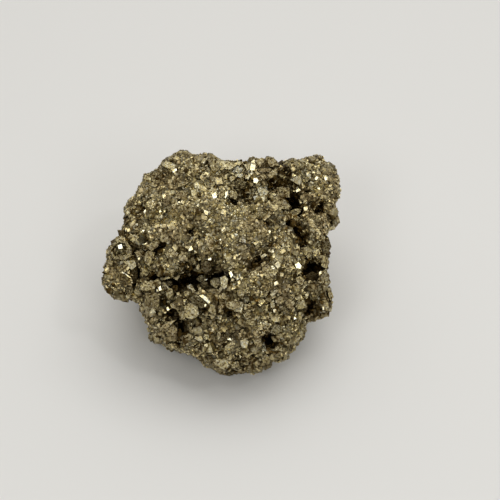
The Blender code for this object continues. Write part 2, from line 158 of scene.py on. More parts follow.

# How a face of a large crystal shows: its lean to the right and upwards in degrees, tone, gloss and
# painted shade. The tones are partly the crystals' own colour and partly painted light and shade: pale
# on the glinting faces, dark on the dull and dark ones; the last value paints only shade.
# Those in SHINING lean from the way round that mirrors the fill light to the display side.
SHINING = ("glint", "white", "bright")
LOOKS = {
    "glint": (0, 0, 1.0, 0.95, 0.0),
    "white": (1, 1, 1.3, 0.8, 0.0),
    "bright": (6, 5, 0.8, 0.6, 0.0),
    "cool": (-6, 14, 1.15, 0.5, 0.0),
    "top": (0, 16, 0.45, 0.3, 0.0),
    "fair": (-4, 7, 0.46, 0.4, 0.02),
    "round": (-3, 9, 0.42, 0.4, 0.05),
    "plain": (0, 9, 0.38, 0.35, 0.08),
    "step": (0, 2, 0.42, 0.4, 0.0),
    "hopper": (-2, 3, 0.45, 0.45, 0.0),
    "brown": (3, -5, 0.16, 0.25, 0.1),
    "dull": (4, -12, 0.28, 0.35, 0.15),
    "dark": (6, -19, 0.1, 0.35, 0.35),
}

# Faces of the large crystals: look, how far they stand in front of what is round them, and across and up
# of each corner in turn. A gap is an opening between crystals, sunk and painted dark as shade, and a
# lump is a swelling of the crust.
FACES = (
    # top left dome
    ("bright", 0.2, -13.0, 22.9, -11.1, 22.6, -11.1, 23.8, -13.2, 24.8, -14.4, 23.8),
    ("glint", 0.3, -11.6, 21.9, -10.6, 22.1, -10.8, 22.9, -11.8, 22.6),
    ("gap", -1.2, -16.6, -2.2, -15.2, -4.1, -12.8, -4.3, -14.7, -2.6),
    ("gap", -0.9, -10.6, 22.1, -9.9, 22.1, -9.4, 22.6, -10.6, 22.9),
    ("dull", 0.1, -16.8, 19.7, -15.2, 20.0, -14.9, 21.7, -16.1, 22.1, -17.1, 21.2),
    ("fair", 0.3, -10.4, 18.3, -8.9, 18.8, -7.5, 19.7, -9.6, 19.7, -10.4, 19.3),
    ("plain", 0.1, -10.6, 15.6, -8.9, 15.4, -8.2, 16.6, -9.6, 17.6, -11.1, 16.8),
    ("bright", 0.3, -4.1, 24.1, -3.1, 25.5, -4.3, 25.3, -4.8, 24.3),
    ("hopper", 0.2, -3.6, 18.3, -2.2, 18.1, -1.2, 19.5, -1.9, 20.9, -3.4, 21.2, -4.3, 20.2),
    ("gap", -0.8, -14.4, 20.5, -13.7, 20.7, -13.5, 22.1, -14.4, 21.9),
    ("fair", 0.2, -8.7, 12.8, -7.9, 13.2, -8.4, 14.0, -9.1, 13.7),
    # top middle
    ("plain", 0.1, -2.9, 23.8, -1.9, 21.9, -0.5, 22.6, -1.0, 24.6, -2.4, 26.0, -3.6, 25.8),
    ("top", 0.5, 0.0, 22.9, 2.2, 22.6, 3.9, 23.8, 1.9, 24.6, -1.0, 24.8),
    ("dark", -0.5, 0.5, 21.2, 1.9, 22.4, -0.5, 22.6),
    ("cool", 0.3, 2.6, 21.9, 4.6, 21.9, 5.3, 22.9, 3.6, 23.6, 1.9, 22.4),
    ("cool", 0.3, 3.6, 20.9, 4.8, 20.7, 5.3, 21.4, 4.3, 21.9, 3.4, 21.4),
    ("plain", 0.3, 2.4, 19.7, 3.6, 20.5, 2.9, 21.4, 1.9, 20.7),
    ("bright", 0.5, 6.3, 22.4, 7.5, 23.1, 7.0, 24.3, 5.5, 23.8),
    ("glint", 0.5, 7.0, 22.6, 8.2, 22.4, 8.4, 23.8, 7.2, 24.1),
    ("bright", 0.4, 6.5, 20.2, 7.2, 21.2, 6.7, 21.7, 6.0, 20.7),
    ("dull", 0.3, 3.6, 18.1, 5.5, 18.1, 6.0, 19.5, 4.3, 20.2, 2.2, 19.7),
    ("fair", 0.6, 1.9, 17.1, 2.2, 15.9, 3.6, 15.4, 4.1, 16.4, 3.4, 17.8, 2.4, 17.6),
    ("gap", -1.0, 2.6, 14.2, 3.6, 13.7, 4.6, 14.4, 4.1, 15.6, 2.6, 15.2),
    ("gap", -0.8, 1.2, 14.4, 2.2, 14.0, 2.2, 15.2, 1.2, 15.6),
    ("bright", 0.4, -0.5, 17.3, 0.2, 18.3, -0.5, 18.5, -1.0, 17.8),
    ("bright", 0.4, 0.7, 17.8, 1.7, 18.1, 1.4, 19.0, 0.5, 18.5),
    ("glint", 0.5, 1.0, 15.6, 1.7, 16.6, 1.7, 17.6, 0.7, 16.8),
    ("glint", 0.4, -1.9, 15.6, -1.0, 15.9, -1.2, 17.3, -2.2, 16.6),
    ("plain", 0.3, -0.7, 16.4, 0.0, 15.6, 0.7, 16.4, 0.7, 17.6, -0.5, 17.3),
    ("gap", -0.6, -0.5, 14.9, 0.2, 14.9, -0.5, 16.1, -1.0, 16.1),
    # the pyramids and what lies under them
    ("fair", 0.5, 9.4, 23.1, 10.6, 24.8, 9.9, 25.5, 8.4, 24.8),
    ("dark", 0.4, 11.8, 23.3, 10.8, 24.8, 9.6, 23.3),
    ("plain", 0.6, 12.0, 23.3, 14.0, 23.6, 13.2, 25.0, 11.3, 25.8, 10.8, 25.0),
    ("plain", 0.3, 9.6, 21.9, 11.8, 22.1, 12.3, 22.9, 10.1, 23.1, 8.9, 22.6),
    ("plain", 0.5, 12.0, 20.5, 13.5, 21.4, 13.7, 22.9, 11.8, 22.4, 11.1, 21.2),
    ("fair", 0.3, 10.4, 20.2, 11.1, 20.9, 10.4, 21.7, 9.4, 21.2),
    ("glint", 0.6, 7.9, 19.5, 8.7, 19.3, 9.1, 20.0, 8.7, 20.7, 7.9, 20.5),
    ("fair", 0.3, 13.2, 20.0, 14.2, 20.5, 14.0, 20.7, 12.8, 20.2),
    ("gap", -0.9, 10.8, 19.0, 11.6, 19.7, 10.8, 20.5, 9.9, 20.0),
    ("gap", -0.7, 9.1, 18.3, 9.9, 18.3, 9.6, 19.5, 8.9, 19.3),
    ("bright", 0.6, 9.1, 17.1, 9.6, 16.1, 10.6, 16.1, 11.6, 17.3, 9.6, 18.3, 8.7, 18.3),
    ("bright", 0.5, 10.4, 14.7, 10.8, 16.1, 9.6, 15.9),
    ("gap", -0.8, 10.6, 14.4, 11.3, 14.4, 11.8, 16.8, 11.1, 16.6),
    ("gap", -1.4, 12.0, 18.5, 14.0, 18.1, 16.8, 17.6, 18.3, 18.3, 16.6, 20.0, 14.2, 20.5, 11.8,
     20.0),
    ("dull", -0.4, 13.5, 16.6, 14.7, 15.9, 16.6, 15.9, 16.6, 18.1, 14.9, 18.5, 13.2, 18.3),
    ("fair", 0.2, 14.2, 17.3, 14.9, 17.3, 14.9, 18.3, 14.0, 18.1),
    ("fair", -0.2, 16.1, 17.3, 16.6, 17.6, 16.4, 18.5, 15.9, 18.3),
    ("brown", 0.1, 12.0, 13.7, 13.5, 13.2, 16.1, 13.0, 16.8, 13.7, 15.4, 15.2, 13.5, 16.1, 11.8,
     15.4),
    ("bright", 0.6, 18.1, 19.3, 19.0, 18.8, 19.5, 19.7, 19.3, 21.2, 18.1, 20.9, 16.8, 20.2),
    ("glint", 0.2, 18.3, 17.1, 19.3, 17.6, 18.8, 18.1, 18.1, 17.6),
    ("round", 0.4, 19.3, 14.4, 20.0, 13.7, 21.2, 14.0, 21.4, 15.2, 20.5, 15.9, 19.5, 15.4),
    ("glint", 0.4, 20.2, 12.5, 21.2, 12.8, 20.9, 13.7, 20.0, 13.5),
    ("fair", 0.3, 17.6, 11.3, 19.0, 12.0, 19.5, 13.0, 18.1, 13.2, 16.6, 12.5),
    ("gap", -1.2, 16.8, 13.7, 19.0, 14.4, 20.0, 16.8, 18.8, 16.4, 16.6, 16.1),
    ("gap", -1.2, 15.4, 8.7, 17.1, 8.7, 16.4, 10.4, 14.9, 10.1),
    ("fair", 0.3, 17.8, 23.3, 19.0, 23.1, 19.7, 24.1, 18.5, 24.6, 17.1, 24.1),
    ("bright", 0.3, 23.6, 23.6, 24.3, 23.6, 24.1, 24.8, 23.3, 24.3),
    ("glint", 0.3, 25.3, 20.0, 25.8, 20.2, 25.8, 20.9, 25.0, 20.7),
    # left side above the ear
    ("fair", 0.3, -17.8, 13.7, -17.1, 13.0, -15.9, 13.7, -15.6, 14.9, -17.1, 15.4, -18.1, 14.7),
    ("gap", -0.9, -19.7, 12.8, -18.5, 12.0, -17.8, 13.2, -18.8, 14.7, -20.0, 14.4),
    ("glint", 0.0, -18.5, 12.0, -18.1, 12.5, -18.3, 13.0, -18.8, 12.5),
    ("dark", 0.0, -24.6, 6.3, -23.3, 6.7, -23.6, 7.9, -25.0, 7.9),
    ("fair", 0.2, -25.5, 5.1, -23.3, 5.3, -23.3, 6.3, -24.8, 6.5, -25.5, 6.0),
    ("fair", 0.2, -21.9, 5.5, -19.7, 5.3, -19.3, 6.0, -20.9, 7.0, -22.1, 6.5),
    ("fair", 0.5, -14.7, 5.5, -14.2, 5.1, -12.8, 5.3, -12.8, 6.7, -14.0, 7.5, -14.7, 6.5),
    ("gap", -1.0, -12.8, 5.5, -12.0, 6.0, -12.5, 6.7, -13.2, 6.5),
    ("plain", 0.3, -10.8, 5.5, -8.9, 5.8, -9.4, 7.0, -10.6, 6.7, -11.6, 6.0),
    ("gap", -0.9, -8.2, 6.7, -7.0, 6.7, -6.5, 8.4, -7.5, 8.7, -8.7, 7.9),
    ("plain", 0.3, -17.6, 3.6, -16.8, 2.9, -15.4, 3.9, -14.7, 5.1, -16.1, 5.5, -17.3, 4.8),
    ("gap", -1.2, -14.7, 2.4, -12.8, 3.9, -12.5, 5.1, -14.4, 4.3, -15.9, 2.6),
    ("fair", 0.6, -12.8, 1.2, -10.6, 1.7, -10.4, 2.4, -12.3, 3.6, -13.5, 2.2),
    ("fair", 0.3, -9.9, 0.5, -8.2, 0.7, -8.2, 2.2, -9.6, 2.4, -10.4, 1.7),
    ("dark", 0.1, -21.2, 4.1, -19.5, 3.4, -17.8, 3.4, -20.0, 5.1, -21.9, 4.8),
    ("plain", 0.4, -20.2, 1.4, -18.8, 1.7, -18.5, 2.9, -19.7, 3.1, -20.9, 2.6),
    ("glint", 0.3, -20.0, 0.7, -19.5, 1.0, -19.7, 1.4, -20.2, 1.2),
    ("plain", 0.6, -18.5, 0.2, -17.3, -0.7, -16.6, 0.7, -16.1, 2.4, -17.6, 2.9, -18.5, 2.2),
    # the ear
    ("lump", 0.6, -28.4, -4.8, -27.2, -6.7, -25.0, -7.9, -22.4, -6.7, -21.4, -4.3, -21.9, -1.4,
     -24.3, 0.0, -27.2, -0.5, -28.4, -2.6),
    ("hopper", 0.5, -26.0, 1.0, -23.3, 0.7, -21.7, 1.7, -21.7, 3.6, -22.6, 5.1, -24.6, 5.5, -26.0,
     4.6, -27.0, 3.1),
    ("glint", 0.6, -24.8, 3.4, -23.8, 3.6, -24.1, 4.6, -25.0, 4.3),
    ("bright", 0.5, -22.9, -0.5, -21.7, -1.7, -20.5, -0.7, -20.9, 0.7, -24.1, 0.5),
    ("glint", 0.5, -22.1, -3.6, -21.9, -3.4, -24.1, -1.9, -24.6, -2.2),
    ("dark", -0.2, -21.4, -4.8, -20.2, -4.8, -20.2, -1.2, -21.7, -1.9),
    ("dull", 0.1, -22.6, -7.7, -21.2, -7.0, -21.4, -5.5, -23.1, -6.0),
    ("glint", 0.3, -26.7, -7.5, -26.0, -7.5, -26.0, -6.7, -26.7, -7.0),
    # below the ear
    ("fair", 0.4, -19.3, -6.5, -17.1, -6.7, -15.2, -6.3, -14.9, -4.8, -16.6, -4.3, -18.3, -4.1,
     -19.5, -5.3),
    ("glint", 0.3, -14.9, -6.7, -14.4, -6.5, -14.7, -5.5, -15.2, -6.0),
    ("fair", 0.3, -13.0, -6.0, -11.8, -5.3, -12.0, -4.3, -13.5, -4.3, -14.4, -5.5),
    ("gap", -1.4, -17.3, -4.1, -14.9, -4.3, -14.7, -3.9, -16.4, -2.6, -17.6, -2.6),
    ("fair", 1.3, -14.4, -4.3, -11.8, -3.6, -8.7, -2.2, -8.9, -1.7, -11.8, -2.9, -14.7, -3.6),
    ("fair", 0.4, -13.2, -7.9, -12.3, -8.4, -11.6, -7.5, -11.8, -6.3, -12.8, -6.0, -13.5, -6.7),
    ("plain", 0.3, -10.6, -8.2, -9.9, -7.9, -10.1, -7.0, -10.8, -7.2),
    ("round", 0.5, -9.4, -8.2, -8.2, -8.9, -7.2, -7.9, -7.2, -6.7, -8.4, -6.0, -9.6, -6.7),
    ("plain", 0.2, -12.0, -10.8, -10.6, -11.1, -9.9, -10.4, -10.4, -9.4, -12.3, -9.9),
    ("glint", 0.5, -13.0, -11.6, -12.5, -11.3, -12.8, -10.6, -13.2, -10.8),
    ("brown", 0.4, -18.5, -9.9, -17.6, -11.8, -15.2, -11.3, -14.9, -8.4, -15.6, -7.2, -18.3, -7.5),
    ("gap", -0.6, -14.4, -11.8, -13.2, -11.8, -14.0, -8.7, -14.9, -7.9),
    ("fair", 0.3, -8.7, -13.0, -7.0, -13.5, -5.3, -12.5, -5.8, -10.1, -7.7, -9.6, -8.9, -10.4),
    ("fair", 0.2, -9.6, -13.7, -8.7, -13.5, -8.9, -11.6, -10.1, -12.0),
    # the lump above the cleft
    ("lump", 1.0, -16.8, -2.2, -15.4, -3.9, -13.2, -4.1, -9.9, -2.6, -7.7, -1.2, -8.2, 0.2, -10.4,
     1.4, -13.2, 2.2, -15.9, 1.2, -17.1, -1.0),
    ("lump", 0.8, -6.0, 2.6, -5.1, 1.4, -3.1, 1.4, -2.2, 2.6, -2.6, 4.1, -4.3, 4.8, -5.8, 4.1),
    ("gap", -1.6, -16.6, -3.9, -15.2, -4.3, -13.0, -4.6, -12.8, -3.9, -14.7, -3.2, -16.6, -3.1),
    # the cleft
    ("gap", -2.0, -12.0, -5.5, -10.8, -7.9, -9.4, -7.9, -8.4, -4.8, -9.9, -2.2, -12.3, -2.9),
    ("gap", -3.0, -10.4, -6.7, -7.5, -5.5, -5.8, -3.9, -5.5, -1.7, -8.4, -2.2, -10.8, -4.1),
    ("gap", -2.4, -3.1, -3.6, -1.7, -3.6, 1.2, -2.6, 1.0, -1.2, -1.7, -2.4, -3.9, -2.6),
    ("fair", 0.4, -5.8, -1.7, -5.1, -1.2, -5.3, -0.2, -6.3, -0.5),
    ("dull", 0.6, -4.6, -1.7, -3.6, -2.6, -2.4, -1.7, -2.4, -0.2, -3.4, 0.5, -4.8, 0.0),
    ("dull", 0.2, -1.0, -2.4, 0.0, -2.2, 0.5, -1.2, -0.5, -0.5, -1.4, -1.2),
    ("glint", 0.0, -3.1, 0.7, -2.4, 0.7, -2.4, 1.4, -3.1, 1.2),
    ("plain", 1.2, -4.8, -4.8, -3.4, -3.9, -3.9, -2.9, -5.1, -2.9, -6.0, -3.9),
    ("dull", 0.8, -3.6, -6.0, -2.9, -5.1, -4.1, -4.3, -5.1, -5.3),
    ("glint", 1.4, -3.6, -4.6, -2.9, -4.6, -3.4, -3.9, -4.1, -4.1),
    ("fair", 0.8, -2.2, -6.3, 0.0, -6.0, -0.2, -3.6, -1.7, -3.6, -2.6, -4.3),
    ("bright", 0.5, 0.0, -5.5, 0.7, -6.3, 1.4, -5.8, 1.7, -3.9, 1.0, -3.1, -0.2, -3.6),
    ("dull", 0.1, -1.7, -8.2, 0.2, -7.9, 0.2, -6.5, -2.2, -6.3, -3.6, -6.5),
    ("fair", 0.4, -0.7, -8.7, 1.0, -8.7, 1.4, -8.2, 0.7, -7.2, -1.0, -7.9),
    ("fair", 0.0, -5.5, -7.0, -4.8, -7.2, -4.8, -5.8, -5.5, -6.0),
    ("white", 1.5, -4.1, -8.9, -2.9, -9.9, -2.6, -9.4, -3.4, -8.4, -4.3, -7.7, -5.3, -7.9),
    ("dull", 0.5, -6.7, -9.9, -5.1, -10.8, -3.4, -10.8, -2.9, -9.9, -4.1, -9.1, -5.3, -8.2, -6.3,
     -7.9, -7.5, -8.7),
    ("glint", 0.6, -3.9, -10.6, -3.6, -10.4, -3.6, -9.9, -4.1, -10.1),
    ("fair", 0.4, -2.9, -10.1, -1.9, -12.3, -1.2, -12.5, -1.4, -10.4, -1.9, -8.7, -2.6, -8.9),
    ("dark", 0.1, -1.7, -10.4, -1.2, -12.8, -0.7, -12.0, -1.0, -9.4, -1.7, -8.7),
    ("gap", -1.0, -0.7, -12.0, -0.5, -12.5, 0.0, -9.4, -0.7, -9.1),
    ("fair", 0.4, -1.9, -12.3, -2.4, -10.4, -3.1, -11.6),
    ("fair", 0.3, -0.5, -12.0, 0.2, -11.6, 0.0, -10.4, -0.5, -10.6),
    ("bright", 0.3, -0.7, -13.5, 0.0, -13.7, 0.2, -12.8, -0.5, -12.0, -1.0, -12.8),
    ("gap", -1.2, 0.7, -12.3, 1.4, -14.2, 2.4, -13.2, 1.9, -11.1, 0.5, -10.4),
    ("plain", 0.4, 1.4, -10.8, 3.1, -11.3, 4.6, -10.6, 4.3, -9.6, 2.6, -9.1, 1.2, -9.6),
    ("gap", -0.9, 5.3, -10.8, 7.0, -10.1, 6.7, -8.9, 4.8, -9.6),
    # the glitter right of the cleft
    ("glint", 0.5, 2.4, -3.6, 2.9, -2.9, 2.4, -1.9, 1.9, -2.4),
    ("bright", 0.5, 2.2, -1.4, 2.9, -1.2, 2.6, -0.7, 1.9, -1.0),
    ("bright", 0.3, 1.0, -3.1, 1.7, -3.1, 1.4, -2.2, 0.7, -2.2),
    ("bright", 0.4, 3.9, -4.1, 4.3, -3.9, 4.1, -2.9, 3.6, -3.4),
    ("bright", 0.3, 0.5, 0.2, 1.2, 0.0, 1.2, 0.7, 0.7, 0.7),
    ("bright", 0.3, 1.0, 1.2, 1.4, 1.2, 1.2, 2.4, 0.7, 2.2),
    ("plain", 0.3, 2.9, -1.2, 4.3, -0.5, 3.9, 0.5, 2.2, 0.0),
    ("gap", -1.4, 7.5, -1.7, 9.1, -1.0, 9.9, 1.2, 8.9, 1.9, 7.0, 0.7, 6.3, -1.0),
    ("bright", -0.4, 7.2, -1.0, 7.5, -1.0, 7.5, -0.2, 7.0, -0.5),
    ("fair", -0.4, 8.4, 0.2, 9.1, 0.0, 9.4, 0.5, 8.4, 0.7),
    ("bright", 0.4, 9.9, 1.0, 11.1, 1.9, 10.6, 2.4, 9.6, 1.7),
    ("fair", 0.3, 7.7, -3.4, 8.9, -2.9, 8.4, -1.7, 7.0, -2.2),
    ("plain", 0.3, 4.1, -7.9, 5.3, -8.2, 6.0, -7.0, 5.1, -6.3, 3.9, -6.7),
    ("fair", 0.4, 10.1, -2.6, 11.3, -3.9, 12.8, -3.4, 12.3, -1.2, 11.1, -0.2, 9.9, -1.2),
    # right edge
    ("fair", 0.4, 19.7, 2.9, 20.9, 1.2, 21.9, 1.7, 22.1, 3.1, 21.2, 4.1, 19.5, 3.6),
    ("fair", 0.3, 22.6, 1.2, 24.1, 2.2, 23.6, 3.4, 22.1, 3.1),
    ("plain", 0.2, 24.3, -0.7, 25.5, -1.4, 26.2, 0.2, 25.3, 2.2, 24.1, 1.4),
    ("dull", 0.1, 24.6, 2.9, 25.8, 2.2, 26.7, 3.9, 26.0, 6.0, 24.6, 5.5),
    ("glint", 0.6, 18.3, -1.2, 19.3, -1.4, 19.5, -0.7, 18.8, 0.2, 17.8, -0.2),
    ("gap", -2.0, 20.9, -4.1, 23.3, -1.9, 24.6, -0.7, 23.3, 0.2, 21.2, -0.7, 20.0, -2.9),
    ("dark", -0.9, 20.9, -4.3, 23.3, -4.3, 23.8, -3.1, 22.1, -2.2, 20.5, -3.1),
    ("bright", -0.3, 23.3, -1.7, 24.3, -1.9, 24.8, -1.4, 23.6, -1.0, 22.6, -1.4),
    ("glint", 0.0, 23.8, -2.9, 24.3, -2.6, 24.3, -1.9, 23.8, -2.2),
    ("fair", 0.3, 24.3, -4.3, 24.8, -6.7, 26.0, -6.0, 26.0, -3.4, 25.5, -1.7, 24.1, -2.4),
    ("gap", -0.8, 17.8, -4.8, 18.3, -4.1, 18.1, -2.2, 16.8, -2.9),
    ("plain", 0.3, 18.5, -5.1, 19.7, -5.3, 20.2, -4.1, 19.3, -3.1, 18.1, -3.6),
    ("fair", 0.2, 26.0, -7.9, 26.5, -9.1, 27.2, -8.2, 26.5, -6.0, 25.8, -6.3),
    ("gap", -0.7, 25.3, -8.7, 26.2, -9.1, 26.0, -7.9, 25.0, -7.9),
    ("fair", 0.3, 20.5, -8.2, 21.4, -7.9, 20.9, -7.0, 20.2, -7.5),
    ("glint", 0.6, 13.0, -5.5, 14.0, -5.1, 13.5, -4.3, 12.8, -4.8),
    ("bright", 0.4, 12.0, -8.4, 12.8, -7.9, 14.0, -6.5, 13.0, -6.5, 11.8, -7.7),
    ("gap", -0.9, 11.3, -8.2, 12.0, -7.5, 11.8, -6.7, 10.6, -7.7),
    ("gap", -0.7, 8.9, -10.4, 9.6, -10.6, 9.9, -9.9, 8.9, -9.6),
    ("bright", 0.3, 12.0, -10.6, 12.5, -11.1, 13.0, -10.4, 12.8, -8.9, 12.0, -9.4),
    ("fair", 0.2, 9.1, -9.4, 10.1, -9.6, 9.9, -8.7, 8.9, -8.7),
    ("bright", 0.2, 15.6, -7.2, 16.4, -6.7, 16.4, -6.0, 15.4, -6.3),
    ("fair", 0.4, 18.1, -10.8, 19.0, -11.3, 20.5, -10.6, 20.2, -9.1, 19.0, -8.7, 18.1, -9.6),
    ("plain", 0.3, 13.2, -9.6, 14.4, -9.9, 15.6, -9.1, 14.9, -7.9, 13.2, -8.4),
    ("bright", 0.3, 14.9, 3.6, 15.4, 3.9, 15.2, 4.8, 14.7, 4.6),
    ("gap", -0.8, 12.3, 5.5, 12.8, 5.1, 13.0, 5.8, 12.5, 6.0),
    ("gap", -1.6, 20.7, -11.6, 22.1, -12.3, 23.6, -11.1, 22.9, -9.1, 20.9, -9.4),
    ("plain", 0.2, 24.6, -11.1, 25.8, -11.6, 26.2, -10.1, 25.3, -8.7, 24.1, -9.4),
    ("glint", 0.4, 24.6, -11.3, 25.0, -11.3, 25.0, -10.6, 24.6, -10.6),
    ("fair", 0.2, 15.9, -10.8, 17.3, -11.1, 17.8, -9.6, 16.6, -8.7, 15.4, -9.1),
    # lower left and the bottom
    ("fair", 0.3, -13.7, -16.1, -12.3, -15.2, -10.8, -13.7, -12.8, -14.2, -14.4, -15.2),
    ("plain", 0.3, -13.0, -16.6, -12.0, -17.6, -10.8, -17.6, -10.6, -15.9, -11.6, -14.9, -12.8,
     -15.6),
    ("dark", -0.3, -11.3, -14.7, -10.4, -15.6, -10.6, -14.0, -12.0, -14.9),
    ("gap", -1.8, -10.4, -17.1, -9.9, -18.1, -9.1, -16.1, -8.9, -13.7, -10.1, -14.0),
    ("bright", 0.3, -15.2, -15.6, -14.7, -15.2, -14.9, -14.4, -15.6, -14.9),
    ("fair", 0.2, -14.7, -16.8, -14.7, -15.9, -15.4, -16.4),
    ("fair", 0.2, -8.4, -18.8, -7.2, -18.5, -7.0, -17.6, -7.9, -17.1, -8.9, -17.8),
    ("bright", 0.2, -5.5, -18.8, -4.3, -18.8, -5.5, -17.8, -6.5, -18.3),
    ("bright", 0.2, -3.9, -20.5, -3.1, -20.2, -3.4, -19.5, -4.1, -19.7),
    ("fair", 0.2, -0.7, -18.8, 0.0, -17.6, -0.2, -16.4, -1.0, -17.1),
    ("fair", 0.4, 1.2, -21.2, 2.4, -20.9, 2.9, -20.0, 1.9, -19.5, 0.7, -20.5),
    ("gap", -0.8, 0.5, -20.5, 1.9, -19.5, 1.7, -19.0, 0.2, -19.7),
    ("glint", 0.4, 2.6, -18.8, 2.2, -18.1, 1.4, -18.5),
    ("fair", 0.4, -1.2, -24.8, 0.7, -25.8, 1.9, -25.0, 1.4, -23.3, -0.5, -23.1, -2.2, -23.6),
    ("gap", -0.6, -2.6, -21.9, -0.5, -21.9, 1.9, -22.1, -0.7, -21.4, -2.9, -21.4),
    ("gap", -2.5, 10.6, -20.0, 11.8, -20.7, 13.0, -19.5, 12.8, -16.8, 11.3, -17.1, 10.1, -17.8),
    ("cool", 0.3, 10.1, -20.5, 10.8, -20.5, 10.4, -18.5, 9.6, -18.1),
    ("cool", 0.2, 10.1, -21.7, 11.1, -21.2, 10.6, -20.5, 9.9, -20.9),
    ("fair", 0.3, 8.4, -20.2, 9.9, -20.2, 9.6, -18.5, 8.9, -17.8, 7.7, -18.5),
    ("bright", 0.3, 5.1, -20.5, 6.3, -20.5, 6.7, -19.0, 5.8, -18.3, 4.6, -18.8),
    ("fair", 0.3, 10.1, -24.1, 11.6, -24.3, 12.0, -22.9, 10.8, -22.1, 9.9, -22.6),
    ("fair", 0.2, 8.7, -25.3, 9.6, -24.3, 8.9, -23.6, 7.7, -24.1),
    ("plain", 0.2, 2.9, -25.5, 4.6, -25.0, 4.1, -23.8, 2.4, -24.1),
    ("fair", 0.2, 15.2, -21.4, 15.6, -20.5, 14.0, -20.0, 12.5, -20.9),
    ("bright", 0.3, 15.2, -18.5, 14.9, -17.8, 14.4, -18.3),
    ("hopper", 0.1, 15.4, -19.7, 16.6, -20.2, 17.1, -18.3, 16.1, -17.3, 15.2, -18.1),
    ("step", 0.2, 10.1, -15.6, 11.1, -16.1, 11.8, -15.2, 11.1, -14.0, 10.1, -14.4),
    ("glint", 0.2, 17.6, -13.7, 18.3, -13.5, 17.8, -13.0, 17.3, -13.2),
    ("glint", 0.1, 20.2, -13.7, 20.7, -13.5, 20.7, -12.8, 20.0, -13.0),
    ("plain", 0.2, 8.2, -18.1, 9.1, -17.3, 8.7, -16.1, 7.5, -16.8),
    ("plain", 0.2, 6.0, -13.7, 7.2, -13.2, 6.7, -11.8, 5.3, -12.3),
    ("gap", -0.8, 14.2, -12.8, 14.7, -12.8, 14.7, -11.1, 14.0, -11.3),
    ("gap", -0.7, 7.2, -13.5, 7.9, -13.5, 7.7, -12.8, 7.0, -12.5),
)


class PyriteCrustSettings(PropertyGroup):
    """Sizes of the skin and of the crystals that grow on it."""

    skin_cell: FloatProperty(
        name="Skin cell",
        description="How finely the worn skin under the crystals is made",
        default=0.00042,
        min=0.0003,
        unit="LENGTH",
    )
    wear_rounds: IntProperty(
        name="Wear rounds",
        description="How often the solid's coarse crystals are worn down towards lumps",
        default=16,
        min=0,
    )
    crease_depth: FloatProperty(
        name="Crease depth",
        description="How deep the cracks between neighbouring lumps are",
        default=0.0013,
        unit="LENGTH",
    )
    crease_spacing: FloatProperty(
        name="Crease spacing",
        description="From one crack to the next",
        default=0.0052,
        unit="LENGTH",
    )
    nodule_height: FloatProperty(
        name="Nodule height",
        description="How far the small round-topped lumps of the skin stand up",
        default=0.0008,
        unit="LENGTH",
    )
    nodule_spacing: FloatProperty(
        name="Nodule spacing",
        description="From one small lump of the skin to the next",
        default=0.0030,
        unit="LENGTH",
    )
    middling_spacing: FloatProperty(
        name="Middling spacing",
        description="From one middling crystal to the next where the specimen is blocky",
        default=0.0017,
        unit="LENGTH",
    )
    fine_spacing: FloatProperty(
        name="Fine spacing",
        description="From one crystal of the fine crust to the next on the display face",
        default=0.0004,
        unit="LENGTH",
    )
    back_spacing: FloatProperty(
        name="Back spacing",
        description="From one crystal of the fine crust to the next on the back",
        default=0.00066,
        unit="LENGTH",
    )


class PyriteFinishSettings(PropertyGroup):
    """Colours of the metal and of what has settled on it."""

    brass: FloatVectorProperty(
        name="Brass",
        description="Clean pyrite",
        subtype="COLOR",
        size=4,
        default=(0.60, 0.51, 0.28, 1),
    )
    pale: FloatVectorProperty(
        name="Pale brass",
        description="The palest crystals",
        subtype="COLOR",
        size=4,
        default=(0.80, 0.73, 0.47, 1),
    )
    cool: FloatVectorProperty(
        name="Cool brass",
        description="The few crystals with a cool sheen",
        subtype="COLOR",
        size=4,
        default=(0.56, 0.57, 0.50, 1),
    )
    gold: FloatVectorProperty(
        name="Gold",
        description="The yellowest facets",
        subtype="COLOR",
        size=4,
        default=(0.65, 0.52, 0.175, 1),
    )
    brown: FloatVectorProperty(
        name="Brown tarnish",
        description="Tarnished stretches and the darkest crystals",
        subtype="COLOR",
        size=4,
        default=(0.285, 0.215, 0.112, 1),
    )
    # Painted shade, and grime: this dark colour is mixed in where a crystal is shut in, in the gaps,
    # along the facet seams, towards each crystal's root and on the grime spots.
    grime_and_shade: FloatVectorProperty(
        name="Pit grime and shade",
        description="What lines the pits and the cracks",
        subtype="COLOR",
        size=4,
        default=(0.085, 0.052, 0.014, 1),
    )


class PyriteStageSettings(PropertyGroup):
    """The floor, the lights and the camera."""

    floor_colour: FloatVectorProperty(
        name="Floor",
        description="The pale floor",
        subtype="COLOR",
        size=4,
        default=(0.765, 0.758, 0.735, 1),
    )
    room_light: FloatProperty(
        name="Room light", description="Strength of the light from the room's ceiling", default=0.66
    )
    key_power: FloatProperty(
        name="Key light", description="Soft light from above and behind", default=1.66, unit="POWER"
    )
    fill_power: FloatProperty(
        name="Fill light", description="Soft light from the front left", default=1.3, unit="POWER"
    )
    spark_power: FloatProperty(
        name="Spark light", description="Small lamp for the glints", default=0.22, unit="POWER"
    )


# Places and directions


def seen_place(across, up, out=0.0):
    """The point in millimetres that far out which is seen at that place of the display face."""
    nearer = 1 - out / DISPLAY_DISTANCE
    return MIDDLE + AXES @ np.array((across * nearer, up * nearer, out))


def mesh_points(mesh):
    points = np.empty(len(mesh.vertices) * 3, np.float32)
    mesh.vertices.foreach_get("co", points)
    return points.reshape(-1, 3).astype(float)


def move_points(mesh, points):
    """Puts the mesh's corners at the points, in metres."""
    mesh.vertices.foreach_set("co", points.astype(np.float32).ravel())
    mesh.update()


def mesh_triangles(mesh):
    mesh.calc_loop_triangles()
    triangles = np.empty(len(mesh.loop_triangles) * 3, np.int32)
    mesh.loop_triangles.foreach_get("vertices", triangles)
    return triangles.reshape(-1, 3)


def mesh_edges(mesh):
    edges = np.empty(len(mesh.edges) * 2, np.int32)
    mesh.edges.foreach_get("vertices", edges)
    return edges.reshape(-1, 2)


